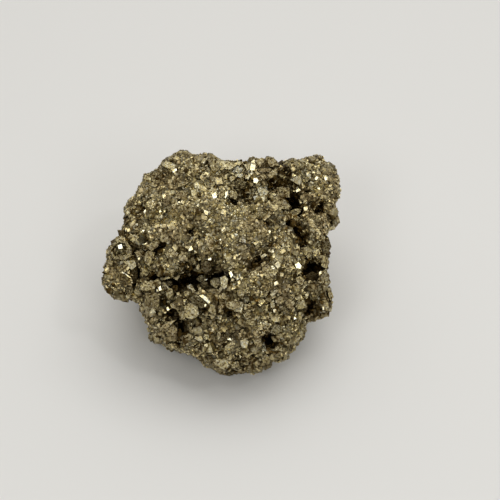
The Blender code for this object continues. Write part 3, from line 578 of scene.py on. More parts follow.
def vertex_normals(mesh):
    normals = np.empty(len(mesh.vertices) * 3, np.float32)
    mesh.vertex_normals.foreach_get("vector", normals)
    return normals.reshape(-1, 3).astype(float)


def tree_of(mesh):
    """A search tree of the mesh, in millimetres."""
    return BVHTree.FromPolygons((mesh_points(mesh) / MM).tolist(), mesh_triangles(mesh).tolist())


def face_height(tree, across, up):
    """How far out the surface is that is seen at that place of the display face, nan beside it."""
    viewer = Vector(MIDDLE + OUT * DISPLAY_DISTANCE)
    place = tree.ray_cast(viewer, Vector(seen_place(across, up)) - viewer)[0]
    return math.nan if place is None else float(OUT @ (np.array(place) - MIDDLE))


def beyond_outline(tree, points, reach):
    """Which points, moved outwards by their reach, are seen beside the surface."""
    seen = seen_places(points)
    from_middle = np.maximum(np.hypot(seen[:, 0], seen[:, 1]), 1)
    across, up = (seen[:, :2] * (1 + reach / from_middle)[:, None]).T
    return np.array([math.isnan(face_height(tree, *place)) for place in zip(across, up)])


def display_places(points):
    """Across, up and out of each point."""
    return (points - MIDDLE) @ AXES


def seen_places(points):
    """Where on the display face each point is seen, and how far out it is."""
    places = display_places(points)
    nearer = 1 - places[:, 2:] / DISPLAY_DISTANCE
    return np.concatenate((places[:, :2] / nearer, places[:, 2:]), axis=1)


def mirror_ways(points):
    """Which way a face at each point looks when it mirrors the fill light to the display side."""
    ways = [target - points for target in (MIDDLE + OUT * DISPLAY_DISTANCE, FILL_PLACE)]
    half = sum(way / np.linalg.norm(way, axis=1, keepdims=True) for way in ways)
    return half / np.linalg.norm(half, axis=1, keepdims=True)


def inside_outline(places, corners):
    """Which of the places lie inside a closed outline."""
    inside = np.zeros(len(places), bool)
    for (x, y), (next_x, next_y) in zip(corners, np.roll(corners, -1, axis=0)):
        crosses = (y > places[:, 1]) != (next_y > places[:, 1])
        at = x + (next_x - x) * (places[:, 1] - y) / (next_y - y if next_y != y else 1)
        inside ^= crosses & (places[:, 0] < at)
    return inside


class Seat:
    """Where one row of FACES sits: its outline, middle, size, height and slopes."""

    def __init__(self, solid, row, turn):
        self.look, stand, *corners = row
        corners = np.reshape(corners, (-1, 2))
        self.middle = np.mean(corners, axis=0)
        arms = (corners - self.middle) * (1.0 if self.look == "hopper" else 1.08)
        self.corners = self.middle + arms
        following = np.roll(arms, -1, axis=0)
        self.area = abs((arms[:, 0] * following[:, 1] - arms[:, 1] * following[:, 0]).sum()) / 2
        self.size = math.sqrt(self.area)
        around = [self.middle + arm * reach for arm in arms for reach in (0.6, 1.3, 1.8)]
        heights = [face_height(solid, *place) for place in around]
        self.out = np.nanpercentile(heights, 60) + stand + FACE_STAND
        self.slopes = np.zeros(2)
        if self.look in LOOKS:
            right, upward = LOOKS[self.look][:2]
            self.slopes = np.tan(np.radians((right + turn[0], upward + turn[1])))
            if self.look in SHINING:
                half = mirror_ways(np.array([seen_place(*self.middle, self.out)]))[0] @ AXES
                self.slopes += half[:2] / half[2]

    def level(self, places):
        """How far out the face's plane is at each place."""
        return self.out - (places - self.middle) @ self.slopes

    def reach(self, places):
        """How far each place is from the middle (0) towards the outline (1), past it over 1."""
        share = np.zeros(len(places))
        arms = self.corners - self.middle
        for (x, y), (next_x, next_y) in zip(arms, np.roll(arms, -1, axis=0)):
            side = np.array((next_y - y, x - next_x))
            share = np.maximum(share, (places - self.middle) @ side / (side @ (x, y)))
        return share

    def covers(self, places, wider=0.0):
        """Which of the seen places lie in the outline, made so much wider in millimetres."""
        grown = self.middle + (self.corners - self.middle) * (1 + 2 * wider / self.size)
        return inside_outline(places, grown)


def seats_of(solid):
    """The seat of each row of FACES, its slopes a little astray."""
    turns = np.random.default_rng(SEED + 9).normal(size=(len(FACES), 2))
    stray = [1.5 if row[0] in SHINING else 5 for row in FACES]
    return [Seat(solid, row, turn * by) for row, turn, by in zip(FACES, turns, stray)]


def noise_at(points, size, seed):
    """Smooth noise from about -1 to 1 at each point, with lumps of about that size."""
    shift = Vector((seed * 17.3, seed * -9.1, seed * 5.7))
    return np.array([noise.noise(Vector(p) / size + shift) for p in points])


def share_at(points, stretches, elsewhere):
    """The share of the stretches that each point lies in, and the given one elsewhere."""
    seen = display_places(points)
    total = np.full(len(points), 0.35)
    found = total * elsewhere
    for across, up, radius, share in stretches:
        apart = np.hypot(seen[:, 0] - across, seen[:, 1] - up) / radius
        weight = np.exp(-2.0 * apart**2) * (seen[:, 2] > -2)
        found += weight * share
        total += weight
    return np.clip(found / total, 0, 1)


def blockiness(points):
    """How blocky the specimen is at each point, from 0 to 1."""
    return share_at(points, STRETCHES, 0.5 + 0.4 * noise_at(points, 7.0, 3))


def cleanness_and_light(points):
    """How bright the metal is made at each point, from 0 (tarnished) to 1: partly real tarnish and
    partly painted shade, darker towards the bottom.
    """
    return share_at(points, CLEAN_AND_LIT, 0.5 + 0.25 * noise_at(points, 5.0, 4))


# Modelling helpers


def select_only(obj):
    bpy.ops.object.select_all(action="DESELECT")
    obj.hide_set(False)
    obj.select_set(True)
    bpy.context.view_layer.objects.active = obj


def link(obj):
    bpy.context.scene.collection.objects.link(obj)
    return obj


def apply_modifier(obj, name, kind, **values):
    modifier = obj.modifiers.new(name, kind)
    for key, value in values.items():
        setattr(modifier, key, value)
    select_only(obj)
    bpy.ops.object.modifier_apply(modifier=name)


def faces_now(obj):
    """The normal and the middle of each face, while in edit mode."""
    bpy.ops.object.mode_set(mode="OBJECT")
    faces = [(face.normal.copy(), face.center.copy()) for face in obj.data.polygons]
    bpy.ops.object.mode_set(mode="EDIT")
    return faces


def select_faces(obj, chosen):
    """In edit mode, selects the faces whose normal and middle pass the test."""
    bpy.ops.mesh.select_mode(type="FACE")
    bpy.ops.mesh.select_all(action="DESELECT")
    bpy.ops.object.mode_set(mode="OBJECT")
    for face in obj.data.polygons:
        face.select = chosen(face.normal, face.center)
    bpy.ops.object.mode_set(mode="EDIT")


def select_ring(obj):
    """In edit mode, selects the corners on the ground level and the edges between them."""
    bpy.ops.mesh.select_mode(type="EDGE")
    bpy.ops.mesh.select_all(action="DESELECT")
    bpy.ops.object.mode_set(mode="OBJECT")
    for edge in obj.data.edges:
        edge.select = all(abs(obj.data.vertices[end].co.z) < 1e-6 for end in edge.vertices)
    bpy.ops.object.mode_set(mode="EDIT")


def finish_habit(obj):
    """Leaves edit mode, gives the habit's corners and faces, and removes the model."""
    bpy.ops.mesh.select_all(action="SELECT")
    bpy.ops.mesh.remove_doubles(threshold=0.001)
    bpy.ops.mesh.normals_make_consistent(inside=False)
    bpy.ops.object.mode_set(mode="OBJECT")
    mesh = obj.data
    habit = mesh_points(mesh), [list(face.vertices) for face in mesh.polygons]
    bpy.data.objects.remove(obj)
    return habit


def in_order(habit):
    """The habit with its corners and faces in an order of their own. Insets and merges leave them
    in a new order each run, and the faces' shades and growth lines follow it."""
    corners, faces = habit
    order = np.lexsort(np.round(corners, 5).T)
    place = np.argsort(order)
    rings = [[int(place[corner]) for corner in face] for face in faces]
    starts = [ring.index(min(ring)) for ring in rings]
    return corners[order], sorted(ring[at:] + ring[:at] for ring, at in zip(rings, starts))


def start_cube(width=1.0, length=1.0, height=1.0):
    """A block in edit mode, all of it selected."""
    bpy.ops.object.select_all(action="DESELECT")
    bpy.ops.mesh.primitive_cube_add(size=1)
    bpy.ops.object.mode_set(mode="EDIT")
    bpy.ops.mesh.select_all(action="SELECT")
    bpy.ops.transform.resize(value=(width, length, height))
    return bpy.context.object


def start_octahedron(reach=0.66):
    """Two four-sided points, base to base, in edit mode."""
    bpy.ops.object.select_all(action="DESELECT")
    bpy.ops.mesh.primitive_circle_add(vertices=4, radius=reach)
    obj = bpy.context.object
    bpy.ops.object.mode_set(mode="EDIT")
    for height in (reach, -reach):
        select_ring(obj)
        bpy.ops.mesh.extrude_region_move(TRANSFORM_OT_translate={"value": (0, 0, height)})
        bpy.ops.mesh.merge(type="CENTER")
    bpy.ops.mesh.select_all(action="SELECT")
    return obj


def cut_corner(depth, direction):
    """Cuts one corner off flat, so deep below the corner that the direction points to."""
    far = sum(abs(part) for part in direction) / 2
    length = math.sqrt(sum(part * part for part in direction))
    place = [part / length * (far / length - depth) for part in direction]
    bpy.ops.mesh.select_all(action="SELECT")
    bpy.ops.mesh.bisect(plane_co=place, plane_no=direction, use_fill=True, clear_outer=True)


def terrace(obj, direction, inset, height, shift=(0, 0, 0)):
    """One growth step on the middle face that looks along the direction."""
    aim = Vector(direction)
    looking = [face for face in faces_now(obj) if face[0].dot(aim) > 0.98]
    middle = min(looking, key=lambda face: (face[1] - aim * face[1].dot(aim)).length)[1]
    select_faces(obj, lambda normal, centre: normal.dot(aim) > 0.98 and centre == middle)
    bpy.ops.mesh.inset(thickness=inset)
    bpy.ops.transform.translate(value=shift)
    bpy.ops.mesh.extrude_region_move(
        TRANSFORM_OT_translate={"value": tuple(part * height for part in direction)}
    )


# Habits of the fine crust: few faces each


def grain_cube():
    return finish_habit(start_cube(1.0, 0.94, 1.05))


def grain_cut_cube():
    obj = start_cube(1.0, 0.9, 1.0)
    cut_corner(0.26, (1, 1, 1))
    return finish_habit(obj)


def grain_octahedron():
    obj = start_octahedron()
    bpy.ops.transform.resize(value=(1.0, 0.92, 1.0))
    return in_order(finish_habit(obj))


def grain_cuboctahedron():
    obj = start_cube(1.15, 1.15, 1.15)
    bpy.ops.mesh.bevel(affect="VERTICES", offset_type="PERCENT", offset_pct=50)
    return finish_habit(obj)


def grain_blade():
    obj = start_cube(1.35, 0.85, 0.5)
    cut_corner(0.3, (1, 1, 0))
    return finish_habit(obj)


# Habits of the middling and large crystals


def block_habit():
    """A cube with one corner cut flat and a low growth step on its top and on one side."""
    obj = start_cube()
    cut_corner(0.12, (-1, -1, 1))
    terrace(obj, (0, 0, 1), 0.09, 0.035)
    terrace(obj, (1, 0, 0), 0.12, 0.03)
    return finish_habit(obj)


def stepped_habit():
    """A cube with stacked growth steps, each a little to one side, on each of its outer faces."""
    obj = start_cube(0.9, 0.9, 0.9)
    sides = (
        ((0, 0, 1), (0.05, 0.03, 0)),
        ((1, 0, 0), (0, -0.05, 0.03)),
        ((0, 1, 0), (0.04, 0, 0.04)),
        ((-1, 0, 0), (0, 0.05, 0.02)),
        ((0, -1, 0), (-0.04, 0, 0.04)),
    )
    for direction, shift in sides:
        for inset in (0.08, 0.1):
            terrace(obj, direction, inset, 0.05, shift)
    return finish_habit(obj)


def hopper_habit():
    """A cube whose face grew faster at its edges: a raised rim around a stepped hollow."""
    obj = start_cube(1.0, 1.0, 0.9)
    bpy.ops.mesh.bevel(affect="VERTICES", offset=0.2)
    terrace(obj, (0, 0, 1), 0.17, -0.12)
    terrace(obj, (0, 0, 1), 0.10, -0.10)
    return finish_habit(obj)


def wedge_habit():
    """A block cut slantwise, so that its face is a triangle or a kite."""
    obj = start_cube()
    cut_corner(0.42, (1, 1, 0.25))
    cut_corner(0.22, (-1, 0.3, 1))
    terrace(obj, (0, 0, 1), 0.06, 0.03)
    return finish_habit(obj)


def slab_habit():
    """A flat plate with a step along its broad face and striped edges."""
    obj = start_cube(1.0, 1.0, 0.4)
    cut_corner(0.1, (1, -1, 0))
    terrace(obj, (0, 0, 1), 0.11, 0.045)
    return finish_habit(obj)


def round_habit():
    """A crystal with every corner cut, almost a ball of flat faces."""
    obj = start_cube()
    bpy.ops.mesh.bevel(affect="VERTICES", offset=0.34)
    bpy.ops.mesh.select_all(action="SELECT")
    bpy.ops.mesh.bevel(affect="EDGES", offset=0.07)
    return finish_habit(obj)


def pyramid_habit():
    """An octahedron, its edges worn to narrow faces."""
    obj = start_octahedron()
    bpy.ops.mesh.bevel(affect="EDGES", offset=0.03)
    return finish_habit(obj)


def pyritohedron_habit():
    """Twelve five-sided faces: a cube with a roof on each side."""
    slant = 0.5
    long, short = 1 + slant, 1 - slant**2
    corners = [(x, y, z) for x in (-1, 1) for y in (-1, 1) for z in (-1, 1)]
    for a in (-long, long):
        for b in (-short, short):
            corners += [(0, a, b), (b, 0, a), (a, b, 0)]
    mesh = bpy.data.meshes.new("pyritohedron")
    mesh.from_pydata([[part / (2 * long) for part in corner] for corner in corners], [], [])
    obj = link(bpy.data.objects.new("pyritohedron", mesh))
    select_only(obj)
    bpy.ops.object.mode_set(mode="EDIT")
    bpy.ops.mesh.select_all(action="SELECT")
    bpy.ops.mesh.convex_hull()
    bpy.ops.mesh.dissolve_limited(angle_limit=math.radians(2))
    bpy.ops.mesh.select_all(action="SELECT")
    bpy.ops.mesh.inset(thickness=0.03, depth=0.012, use_individual=True)
    return finish_habit(obj)


def outlined_habit(seat, depth):
    """A crystal behind a face of the seat's outline, flared towards its root, its edges worn."""
    bpy.ops.object.select_all(action="DESELECT")
    bpy.ops.mesh.primitive_circle_add(vertices=len(seat.corners), radius=1, fill_type="NGON")
    obj = bpy.context.object
    for vertex, corner in zip(obj.data.vertices, seat.corners - seat.middle):
        vertex.co = (*corner, 0)
    bpy.ops.object.mode_set(mode="EDIT")
    bpy.ops.mesh.select_all(action="SELECT")
    bpy.ops.mesh.extrude_region_move(TRANSFORM_OT_translate={"value": (0, 0, -depth)})
    bpy.ops.transform.resize(value=(1.15, 1.15, 1), center_override=(0, 0, -depth))
    bpy.ops.mesh.select_all(action="SELECT")
    bpy.ops.mesh.normals_make_consistent(inside=False)
    if seat.look == "hopper":
        for share, drop in ((0.1, 0.1), (0.045, 0.14), (0.1, 0.1)):
            shift = (-0.03 * seat.size, 0.02 * seat.size, 0)
            terrace(obj, (0, 0, 1), share * seat.size, -drop * seat.size, shift)
    elif seat.look == "step":
        for share in (0.12, 0.14):
            terrace(obj, (0, 0, 1), share * seat.size, 0.06 * seat.size)
    elif seat.look != "gap":
        select_ring(obj)
        worn = 0.28 if seat.look == "round" else 0.045
        bpy.ops.mesh.bevel(affect="EDGES", offset=worn * seat.size, segments=1)
    corners, faces = finish_habit(obj)
    if seat.look in ("hopper", "step"):
        corners, faces = in_order((corners, faces))
    corners[:, 2] -= corners[:, :2] @ seat.slopes
    return corners, faces


GRAINS = (grain_cube, grain_cut_cube, grain_octahedron, grain_cuboctahedron, grain_blade)
GRAIN_SHARES = (0.34, 0.22, 0.16, 0.1, 0.18)
MIDDLING = (
    block_habit,
    wedge_habit,
    stepped_habit,
    slab_habit,
    pyramid_habit,
    pyritohedron_habit,
    round_habit,
    hopper_habit,
)
MIDDLING_SHARES = (0.34, 0.2, 0.11, 0.16, 0.09, 0.05, 0.02, 0.03)


# Crystals gathered into one mesh


class Growth:
    """Crystals of several habits, joined in one mesh with their tone, gloss, hollow and depth, by which
    the materials paint shade.
    """

    def __init__(self):
        self.points, self.loops, self.totals, self.facts, self.depths = [], [], [], [], []
        self.count = 0

    def add(self, habit, centres, turns, facts, roots, outward):
        """Adds one crystal for each centre. Turns are 3 x 3 and hold the size, facts are its own.
        Depth runs from 0 at a crystal's tip to 1 at its root, where it leaves the ground."""
        if not len(centres):
            return
        corners, faces = habit
        placed = centres[:, None, :] + np.einsum("nij,vj->nvi", turns, corners)
        placed[:, :, 2] -= np.minimum(placed[:, :, 2].min(axis=1), 0)[:, None]
        height = np.einsum("nvi,ni->nv", placed - roots[:, None, :], outward)
        tip = np.maximum(height.max(axis=1, keepdims=True), 0.12)
        self.depths.append(np.clip(1 - height / tip, 0, 2).ravel())
        loops = np.concatenate([np.array(face) for face in faces])
        first = self.count + np.arange(len(centres)) * len(corners)
        self.points.append(placed.reshape(-1, 3))
        self.loops.append((first[:, None] + loops[None]).ravel())
        self.totals.append(np.tile([len(face) for face in faces], len(centres)))
        self.facts.append(np.repeat(facts, len(faces), axis=0))
        self.count += len(centres) * len(corners)

    def as_object(self, name, material, varied=0.0):
        """The joined mesh. A dull crystal's faces differ in tone by up to varied either way."""
        points = np.concatenate(self.points)
        loops = np.concatenate(self.loops)
        totals = np.concatenate(self.totals)
        facts = np.concatenate(self.facts)
        shades = np.random.default_rng(SEED + 4).uniform(-varied, varied, len(facts))
        facts[:, 0] += shades * (facts[:, 1] < 0.7)
        starts = np.concatenate(([0], np.cumsum(totals)[:-1]))
        mesh = bpy.data.meshes.new(name)
        mesh.vertices.add(len(points))
        mesh.loops.add(len(loops))
        mesh.polygons.add(len(totals))
        mesh.vertices.foreach_set("co", (points * MM).astype(np.float32).ravel())
        mesh.loops.foreach_set("vertex_index", loops.astype(np.int32))
        mesh.polygons.foreach_set("loop_start", starts.astype(np.int32))
        mesh.update(calc_edges=True)
        mesh.validate()
        depth = mesh.attributes.new("depth", "FLOAT", "POINT")
        depth.data.foreach_set("value", np.concatenate(self.depths).astype(np.float32))
        for index, fact in enumerate(("tone", "gloss", "hollow")):
            attribute = mesh.attributes.new(fact, "FLOAT", "FACE")
            attribute.data.foreach_set("value", facts[:, index].astype(np.float32))
        flat = face_places(points, loops, starts, totals)
        for layer, places in (("OFBake", cells(*flat)), ("Growth", flat[0])):
            mesh.uv_layers.new(name=layer).uv.foreach_set(
                "vector", places.astype(np.float32).ravel()
            )
        mesh.shade_flat()
        mesh.materials.append(material)
        return link(bpy.data.objects.new(name, mesh))


def face_places(points, loops, starts, totals):
    """Each loop's place in millimetres along and across its face's first edge, and the starts."""
    corners = points[loops]
    first, second, third = corners[starts], corners[starts + 1], corners[starts + 2]
    along = second - first
    along /= np.maximum(np.linalg.norm(along, axis=1, keepdims=True), 1e-9)
    normal = np.cross(along, third - first)
    normal /= np.maximum(np.linalg.norm(normal, axis=1, keepdims=True), 1e-9)
    beside = np.cross(normal, along)
    face = np.repeat(np.arange(len(totals)), totals)
    offset = corners - first[face]
    places = np.stack(((offset * along[face]).sum(1), (offset * beside[face]).sum(1)), axis=1)
    return places, starts, face


def cells(places, starts, face):
    """Lays the faces out on one map, each in a square cell of its own."""
    margin = 0.12
    low = np.minimum.reduceat(places, starts)
    size = np.maximum(np.maximum.reduceat(places, starts) - low, 1e-9).max(axis=1)
    side = math.ceil(math.sqrt(len(starts)))
    inside = (places - low[face]) / size[face, None]
    index = np.arange(len(starts))
    corner = np.stack((index % side, index // side), axis=1)
    return (corner[face] + margin + inside * (1 - 2 * margin)) / side


def random_turns(chance, count):
    """Rotations as 3 x 3 matrices, any way round."""
    return turns_of(chance.normal(size=(count, 4)))


def small_turns(chance, count, spread):
    """Rotations by about the spread, in radians, about any axis."""
    parts = chance.normal(size=(count, 3)) * spread / 2
    return turns_of(np.concatenate((np.ones((count, 1)), parts), axis=1))


def facing_turns(ways, chance):
    """Rotations that take the upper face to about each way, spun by chance."""
    side = np.cross(ways, chance.normal(size=ways.shape))
    side /= np.linalg.norm(side, axis=1, keepdims=True)
    turns = np.stack((side, np.cross(ways, side), ways), axis=2)
    return turns @ small_turns(chance, len(ways), 0.06)


def turns_of(quaternions):
    w, x, y, z = (quaternions / np.linalg.norm(quaternions, axis=1, keepdims=True)).T
    rows = (
        (1 - 2 * (y * y + z * z), 2 * (x * y - z * w), 2 * (x * z + y * w)),
        (2 * (x * y + z * w), 1 - 2 * (x * x + z * z), 2 * (y * z - x * w)),
        (2 * (x * z - y * w), 2 * (y * z + x * w), 1 - 2 * (x * x + y * y)),
    )
    return np.stack([np.stack(row, axis=1) for row in rows], axis=1)


# Places on the skin


def kept_of(kept, *columns):
    """Each column with only the kept rows."""
    return [column[kept] for column in columns]


def skin_samples(mesh, count, chance):
    """Seeded places all over the mesh, in millimetres, and their normals."""
    points, triangles, normals = mesh_points(mesh) / MM, mesh_triangles(mesh), vertex_normals(mesh)
    a, b, c = points[triangles[:, 0]], points[triangles[:, 1]], points[triangles[:, 2]]
    areas = np.linalg.norm(np.cross(b - a, c - a), axis=1)
    chosen = chance.choice(len(triangles), size=count, p=areas / areas.sum())
    u, v = chance.random((2, count))
    over = u + v > 1
    u[over], v[over] = 1 - u[over], 1 - v[over]
    weights = np.stack((1 - u - v, u, v), axis=1)[:, :, None]
    places = (points[triangles[chosen]] * weights).sum(axis=1)
    facing = (normals[triangles[chosen]] * weights).sum(axis=1)
    return places, facing / np.linalg.norm(facing, axis=1, keepdims=True)


def spread_out(places, spacings, taken=()):
    """Indexes of places that stand at least their spacing apart, and clear of those taken."""
    tree = kdtree.KDTree(len(places))
    for index, place in enumerate(places):
        tree.insert(place, index)
    tree.balance()
    free = np.ones(len(places), bool)
    for place, room in taken:
        for _, index, _ in tree.find_range(place, room):
            free[index] = False
    kept = []
    for index, place in enumerate(places):
        if free[index]:
            kept.append(index)
            for _, other, _ in tree.find_range(place, spacings[index]):
                free[other] = False
    return np.array(kept)


def hollowness(tree, places, normals, chance, rays=9, reach=9.0):
    """How far each place is shut in by what stands round it, from 0 to 1; the materials paint shade by
    it.
    """
    away = chance.normal(size=(rays, 3))
    away /= np.linalg.norm(away, axis=1, keepdims=True)
    shut = np.zeros(len(places))
    for index, (place, normal) in enumerate(zip(places, normals)):
        start = Vector(place + normal * 0.35)
        for ray in away:
            aim = Vector(normal * 1.05 + ray)
            hit = tree.ray_cast(start, aim, reach)
            if hit[0] is not None:
                shut[index] += 1 - hit[3] / reach
    return shut / rays


def patch_turns(places, chance):
    """The way round that crystals of each place's patch grew."""
    middles = places[chance.choice(len(places), size=min(PATCHES, len(places)), replace=False)]
    tree = kdtree.KDTree(len(middles))
    for index, middle in enumerate(middles):
        tree.insert(middle, index)
    tree.balance()
    nearest = np.array([tree.find(place)[1] for place in places])
    return random_turns(chance, len(middles))[nearest]


# Materials


def connect(tree, source, target):
    tree.links.new(source, target)


def feed(tree, sockets, values):
    """Gives each socket its value: another socket is a link, a number or a colour stays there."""
    for socket, value in zip(sockets, values):
        if isinstance(value, bpy.types.NodeSocket):
            connect(tree, value, socket)
        else:
            socket.default_value = value


def object_place(tree):
    """The place on the object, which every pattern here follows."""
    return tree.nodes.new("ShaderNodeTexCoord").outputs["Object"]


def attribute(tree, name):
    """A number that each crystal has of its own."""
    made = tree.nodes.new("ShaderNodeAttribute")
    made.attribute_name = name
    return made.outputs["Fac"]


def maths(tree, operation, *values):
    made = tree.nodes.new("ShaderNodeMath")
    made.operation = operation
    feed(tree, made.inputs, values)
    return made.outputs[0]


def vector_maths(tree, operation, *values):
    made = tree.nodes.new("ShaderNodeVectorMath")
    made.operation = operation
    feed(tree, made.inputs, values)
    return made.outputs[0]


def mix_colours(tree, share, first, second):
    made = tree.nodes.new("ShaderNodeMix")
    made.data_type = "RGBA"
    feed(tree, [made.inputs[index] for index in (0, 6, 7)], (share, first, second))
    return made.outputs[2]


def range_of(tree, value, low, high, to_low, to_high):
    """The value stretched from one range to another and held inside it."""
    made = tree.nodes.new("ShaderNodeMapRange")
    feed(tree, made.inputs, (value, low, high, to_low, to_high))
    return made.outputs[0]


def cloud(tree, coordinates, scale, detail=3.0):
    """Soft noise from 0 to 1."""
    made = tree.nodes.new("ShaderNodeTexNoise")
    sockets = [made.inputs[name] for name in ("Vector", "Scale", "Detail")]
    feed(tree, sockets, (coordinates, scale, detail))
    return made.outputs[0]


def new_group(name, ins, outs):
    """A shader node group with the named inputs and outputs."""
    group = bpy.data.node_groups.new(name, "ShaderNodeTree")
    for side, sockets in (("INPUT", ins), ("OUTPUT", outs)):
        for socket, kind, value in sockets:
            made = group.interface.new_socket(socket, in_out=side, socket_type=kind)
            if value is not None:
                made.default_value = value
    return group, group.nodes.new("NodeGroupInput"), group.nodes.new("NodeGroupOutput")


def tarnish_group():
    """Brown stretches a few millimetres across, broken up by a finer speckle."""
    found = bpy.data.node_groups.get("Pyrite tarnish")
    if found:
        return found
    group, ins, outs = new_group(
        "Pyrite tarnish",
        (("Patch scale", "NodeSocketFloat", 160.0), ("Speckle scale", "NodeSocketFloat", 900.0)),
        (("Mask", "NodeSocketFloat", None),),
    )
    place = object_place(group)
    patches = cloud(group, place, ins.outputs["Patch scale"], 2.0)
    speckle = cloud(group, place, ins.outputs["Speckle scale"], 2.0)
    both = maths(group, "ADD", patches, maths(group, "MULTIPLY", speckle, 0.35))
    connect(group, range_of(group, both, 0.62, 0.86, 0.0, 1.0), outs.inputs["Mask"])
    return group


def facets_group():
    """Small flat facets, each with a tilt and tone of its own, parted by fine seams that the materials
    paint dark as shade.
    """
    found = bpy.data.node_groups.get("Pyrite facets")
    if found:
        return found
    group, ins, outs = new_group(
        "Pyrite facets",
        (("Scale", "NodeSocketFloat", 2600.0), ("Tilt", "NodeSocketFloat", 0.3)),
        (
            ("Normal", "NodeSocketVector", None),
            ("Shade", "NodeSocketFloat", None),
            ("Warmth", "NodeSocketFloat", None),
            ("Seam", "NodeSocketFloat", None),
        ),
    )
    place = object_place(group)
    found = []
    for feature in ("F1", "DISTANCE_TO_EDGE"):
        voronoi = group.nodes.new("ShaderNodeTexVoronoi")
        voronoi.feature = feature
        sockets = voronoi.inputs["Vector"], voronoi.inputs["Scale"]
        feed(group, sockets, (place, ins.outputs["Scale"]))
        found.append(voronoi)
    chosen, edges = found
    lean = vector_maths(group, "SUBTRACT", chosen.outputs["Color"], (0.5, 0.5, 0.5))
    lean = vector_maths(group, "MULTIPLY", lean, ins.outputs["Tilt"])
    facing = group.nodes.new("ShaderNodeNewGeometry").outputs["Normal"]
    facing = vector_maths(group, "NORMALIZE", vector_maths(group, "ADD", facing, lean))
    connect(group, facing, outs.inputs["Normal"])
    apart = group.nodes.new("ShaderNodeSeparateColor")
    connect(group, chosen.outputs["Color"], apart.inputs[0])
    connect(group, apart.outputs[1], outs.inputs["Shade"])
    connect(group, apart.outputs[2], outs.inputs["Warmth"])
    seam = range_of(group, edges.outputs["Distance"], 0.0, 0.09, 1.0, 0.0)
    connect(group, seam, outs.inputs["Seam"])
    return group


def brass_group():
    """The colour and roughness of a crystal from its own tone, gloss, hollow and tarnish. Where it is
    hollow it loses gold and turns to the dark pit colour, which is painted shade.
    """
    found = bpy.data.node_groups.get("Pyrite brass")
    if found:
        return found
    group, ins, outs = new_group(
        "Pyrite brass",
        (
            ("Tone", "NodeSocketFloat", 0.5),
            ("Gloss", "NodeSocketFloat", 0.5),
            ("Hollow", "NodeSocketFloat", 0.0),
            ("Tarnish", "NodeSocketFloat", 0.0),
            ("Warmth", "NodeSocketFloat", 0.5),
            ("Brass", "NodeSocketColor", (0.62, 0.52, 0.31, 1)),
            ("Pale", "NodeSocketColor", (0.78, 0.70, 0.48, 1)),
            ("Cool", "NodeSocketColor", (0.60, 0.64, 0.62, 1)),
            ("Gold", "NodeSocketColor", (0.66, 0.48, 0.16, 1)),
            ("Brown", "NodeSocketColor", (0.36, 0.27, 0.16, 1)),
            ("Grime and shade", "NodeSocketColor", (0.05, 0.038, 0.025, 1)),
        ),
        (("Colour", "NodeSocketColor", None), ("Roughness", "NodeSocketFloat", None)),
    )
    pale_share = range_of(group, ins.outputs["Tone"], 0.62, 1.0, 0.0, 1.0)
    cool_share = range_of(group, ins.outputs["Tone"], 1.0, 1.3, 0.0, 0.9)
    brown_share = range_of(group, ins.outputs["Tone"], 0.4, 0.0, 0.0, 0.75)
    gold_share = range_of(group, ins.outputs["Warmth"], 0.45, 0.9, 0.0, 0.65)
    open_share = range_of(group, ins.outputs["Hollow"], 0.05, 0.4, 1.0, 0.2)
    gold_share = maths(group, "MULTIPLY", gold_share, open_share)
    grey_share = range_of(group, ins.outputs["Warmth"], 0.3, 0.0, 0.0, 0.4)
    colour = mix_colours(group, pale_share, ins.outputs["Brass"], ins.outputs["Pale"])
    colour = mix_colours(group, gold_share, colour, ins.outputs["Gold"])
    colour = mix_colours(group, grey_share, colour, ins.outputs["Cool"])
    colour = mix_colours(group, cool_share, colour, ins.outputs["Cool"])
    colour = mix_colours(group, brown_share, colour, ins.outputs["Brown"])
    tarnish = maths(group, "MULTIPLY", ins.outputs["Tarnish"], 0.6)
    colour = mix_colours(group, tarnish, colour, ins.outputs["Brown"])
    # Painted shade: the hollow turns the colour dark, and so do the grime spots that are fed into it.
    grime_and_shade = range_of(group, ins.outputs["Hollow"], 0.2, 0.65, 0.0, 1.0)
    colour = mix_colours(group, grime_and_shade, colour, ins.outputs["Grime and shade"])
    connect(group, colour, outs.inputs["Colour"])
    rough = range_of(group, ins.outputs["Gloss"], 0.0, 1.0, 0.48, 0.16)
    rough = maths(group, "ADD", rough, maths(group, "MULTIPLY", ins.outputs["Tarnish"], 0.12))
    connect(group, rough, outs.inputs["Roughness"])
    return group


GROUND, FACES_METAL, CRUST_METAL = "Pyrite ground", "Pyrite faces", "Pyrite crust"
# Facets per metre, their tilt, how deep the bumps are in metres, how far the facets' shades spread, how
# dark their seams are painted as shade between the facets, spots per metre, how dark those are, and the
# share of the colour left, which on the ground under the crystals is painted shade.
METALS = {
    GROUND: (2400.0, 0.4, 0.0001, 0.3, 0.36, 1300.0, 0.3, 0.4),
    FACES_METAL: (2700.0, 0.2, 0.00005, 0.42, 0.45, 2300.0, 0.65, 0.68),
    CRUST_METAL: (3000.0, 0.45, 0.00002, 0.3, 0.36, 1300.0, 0.3, 1.0),
}


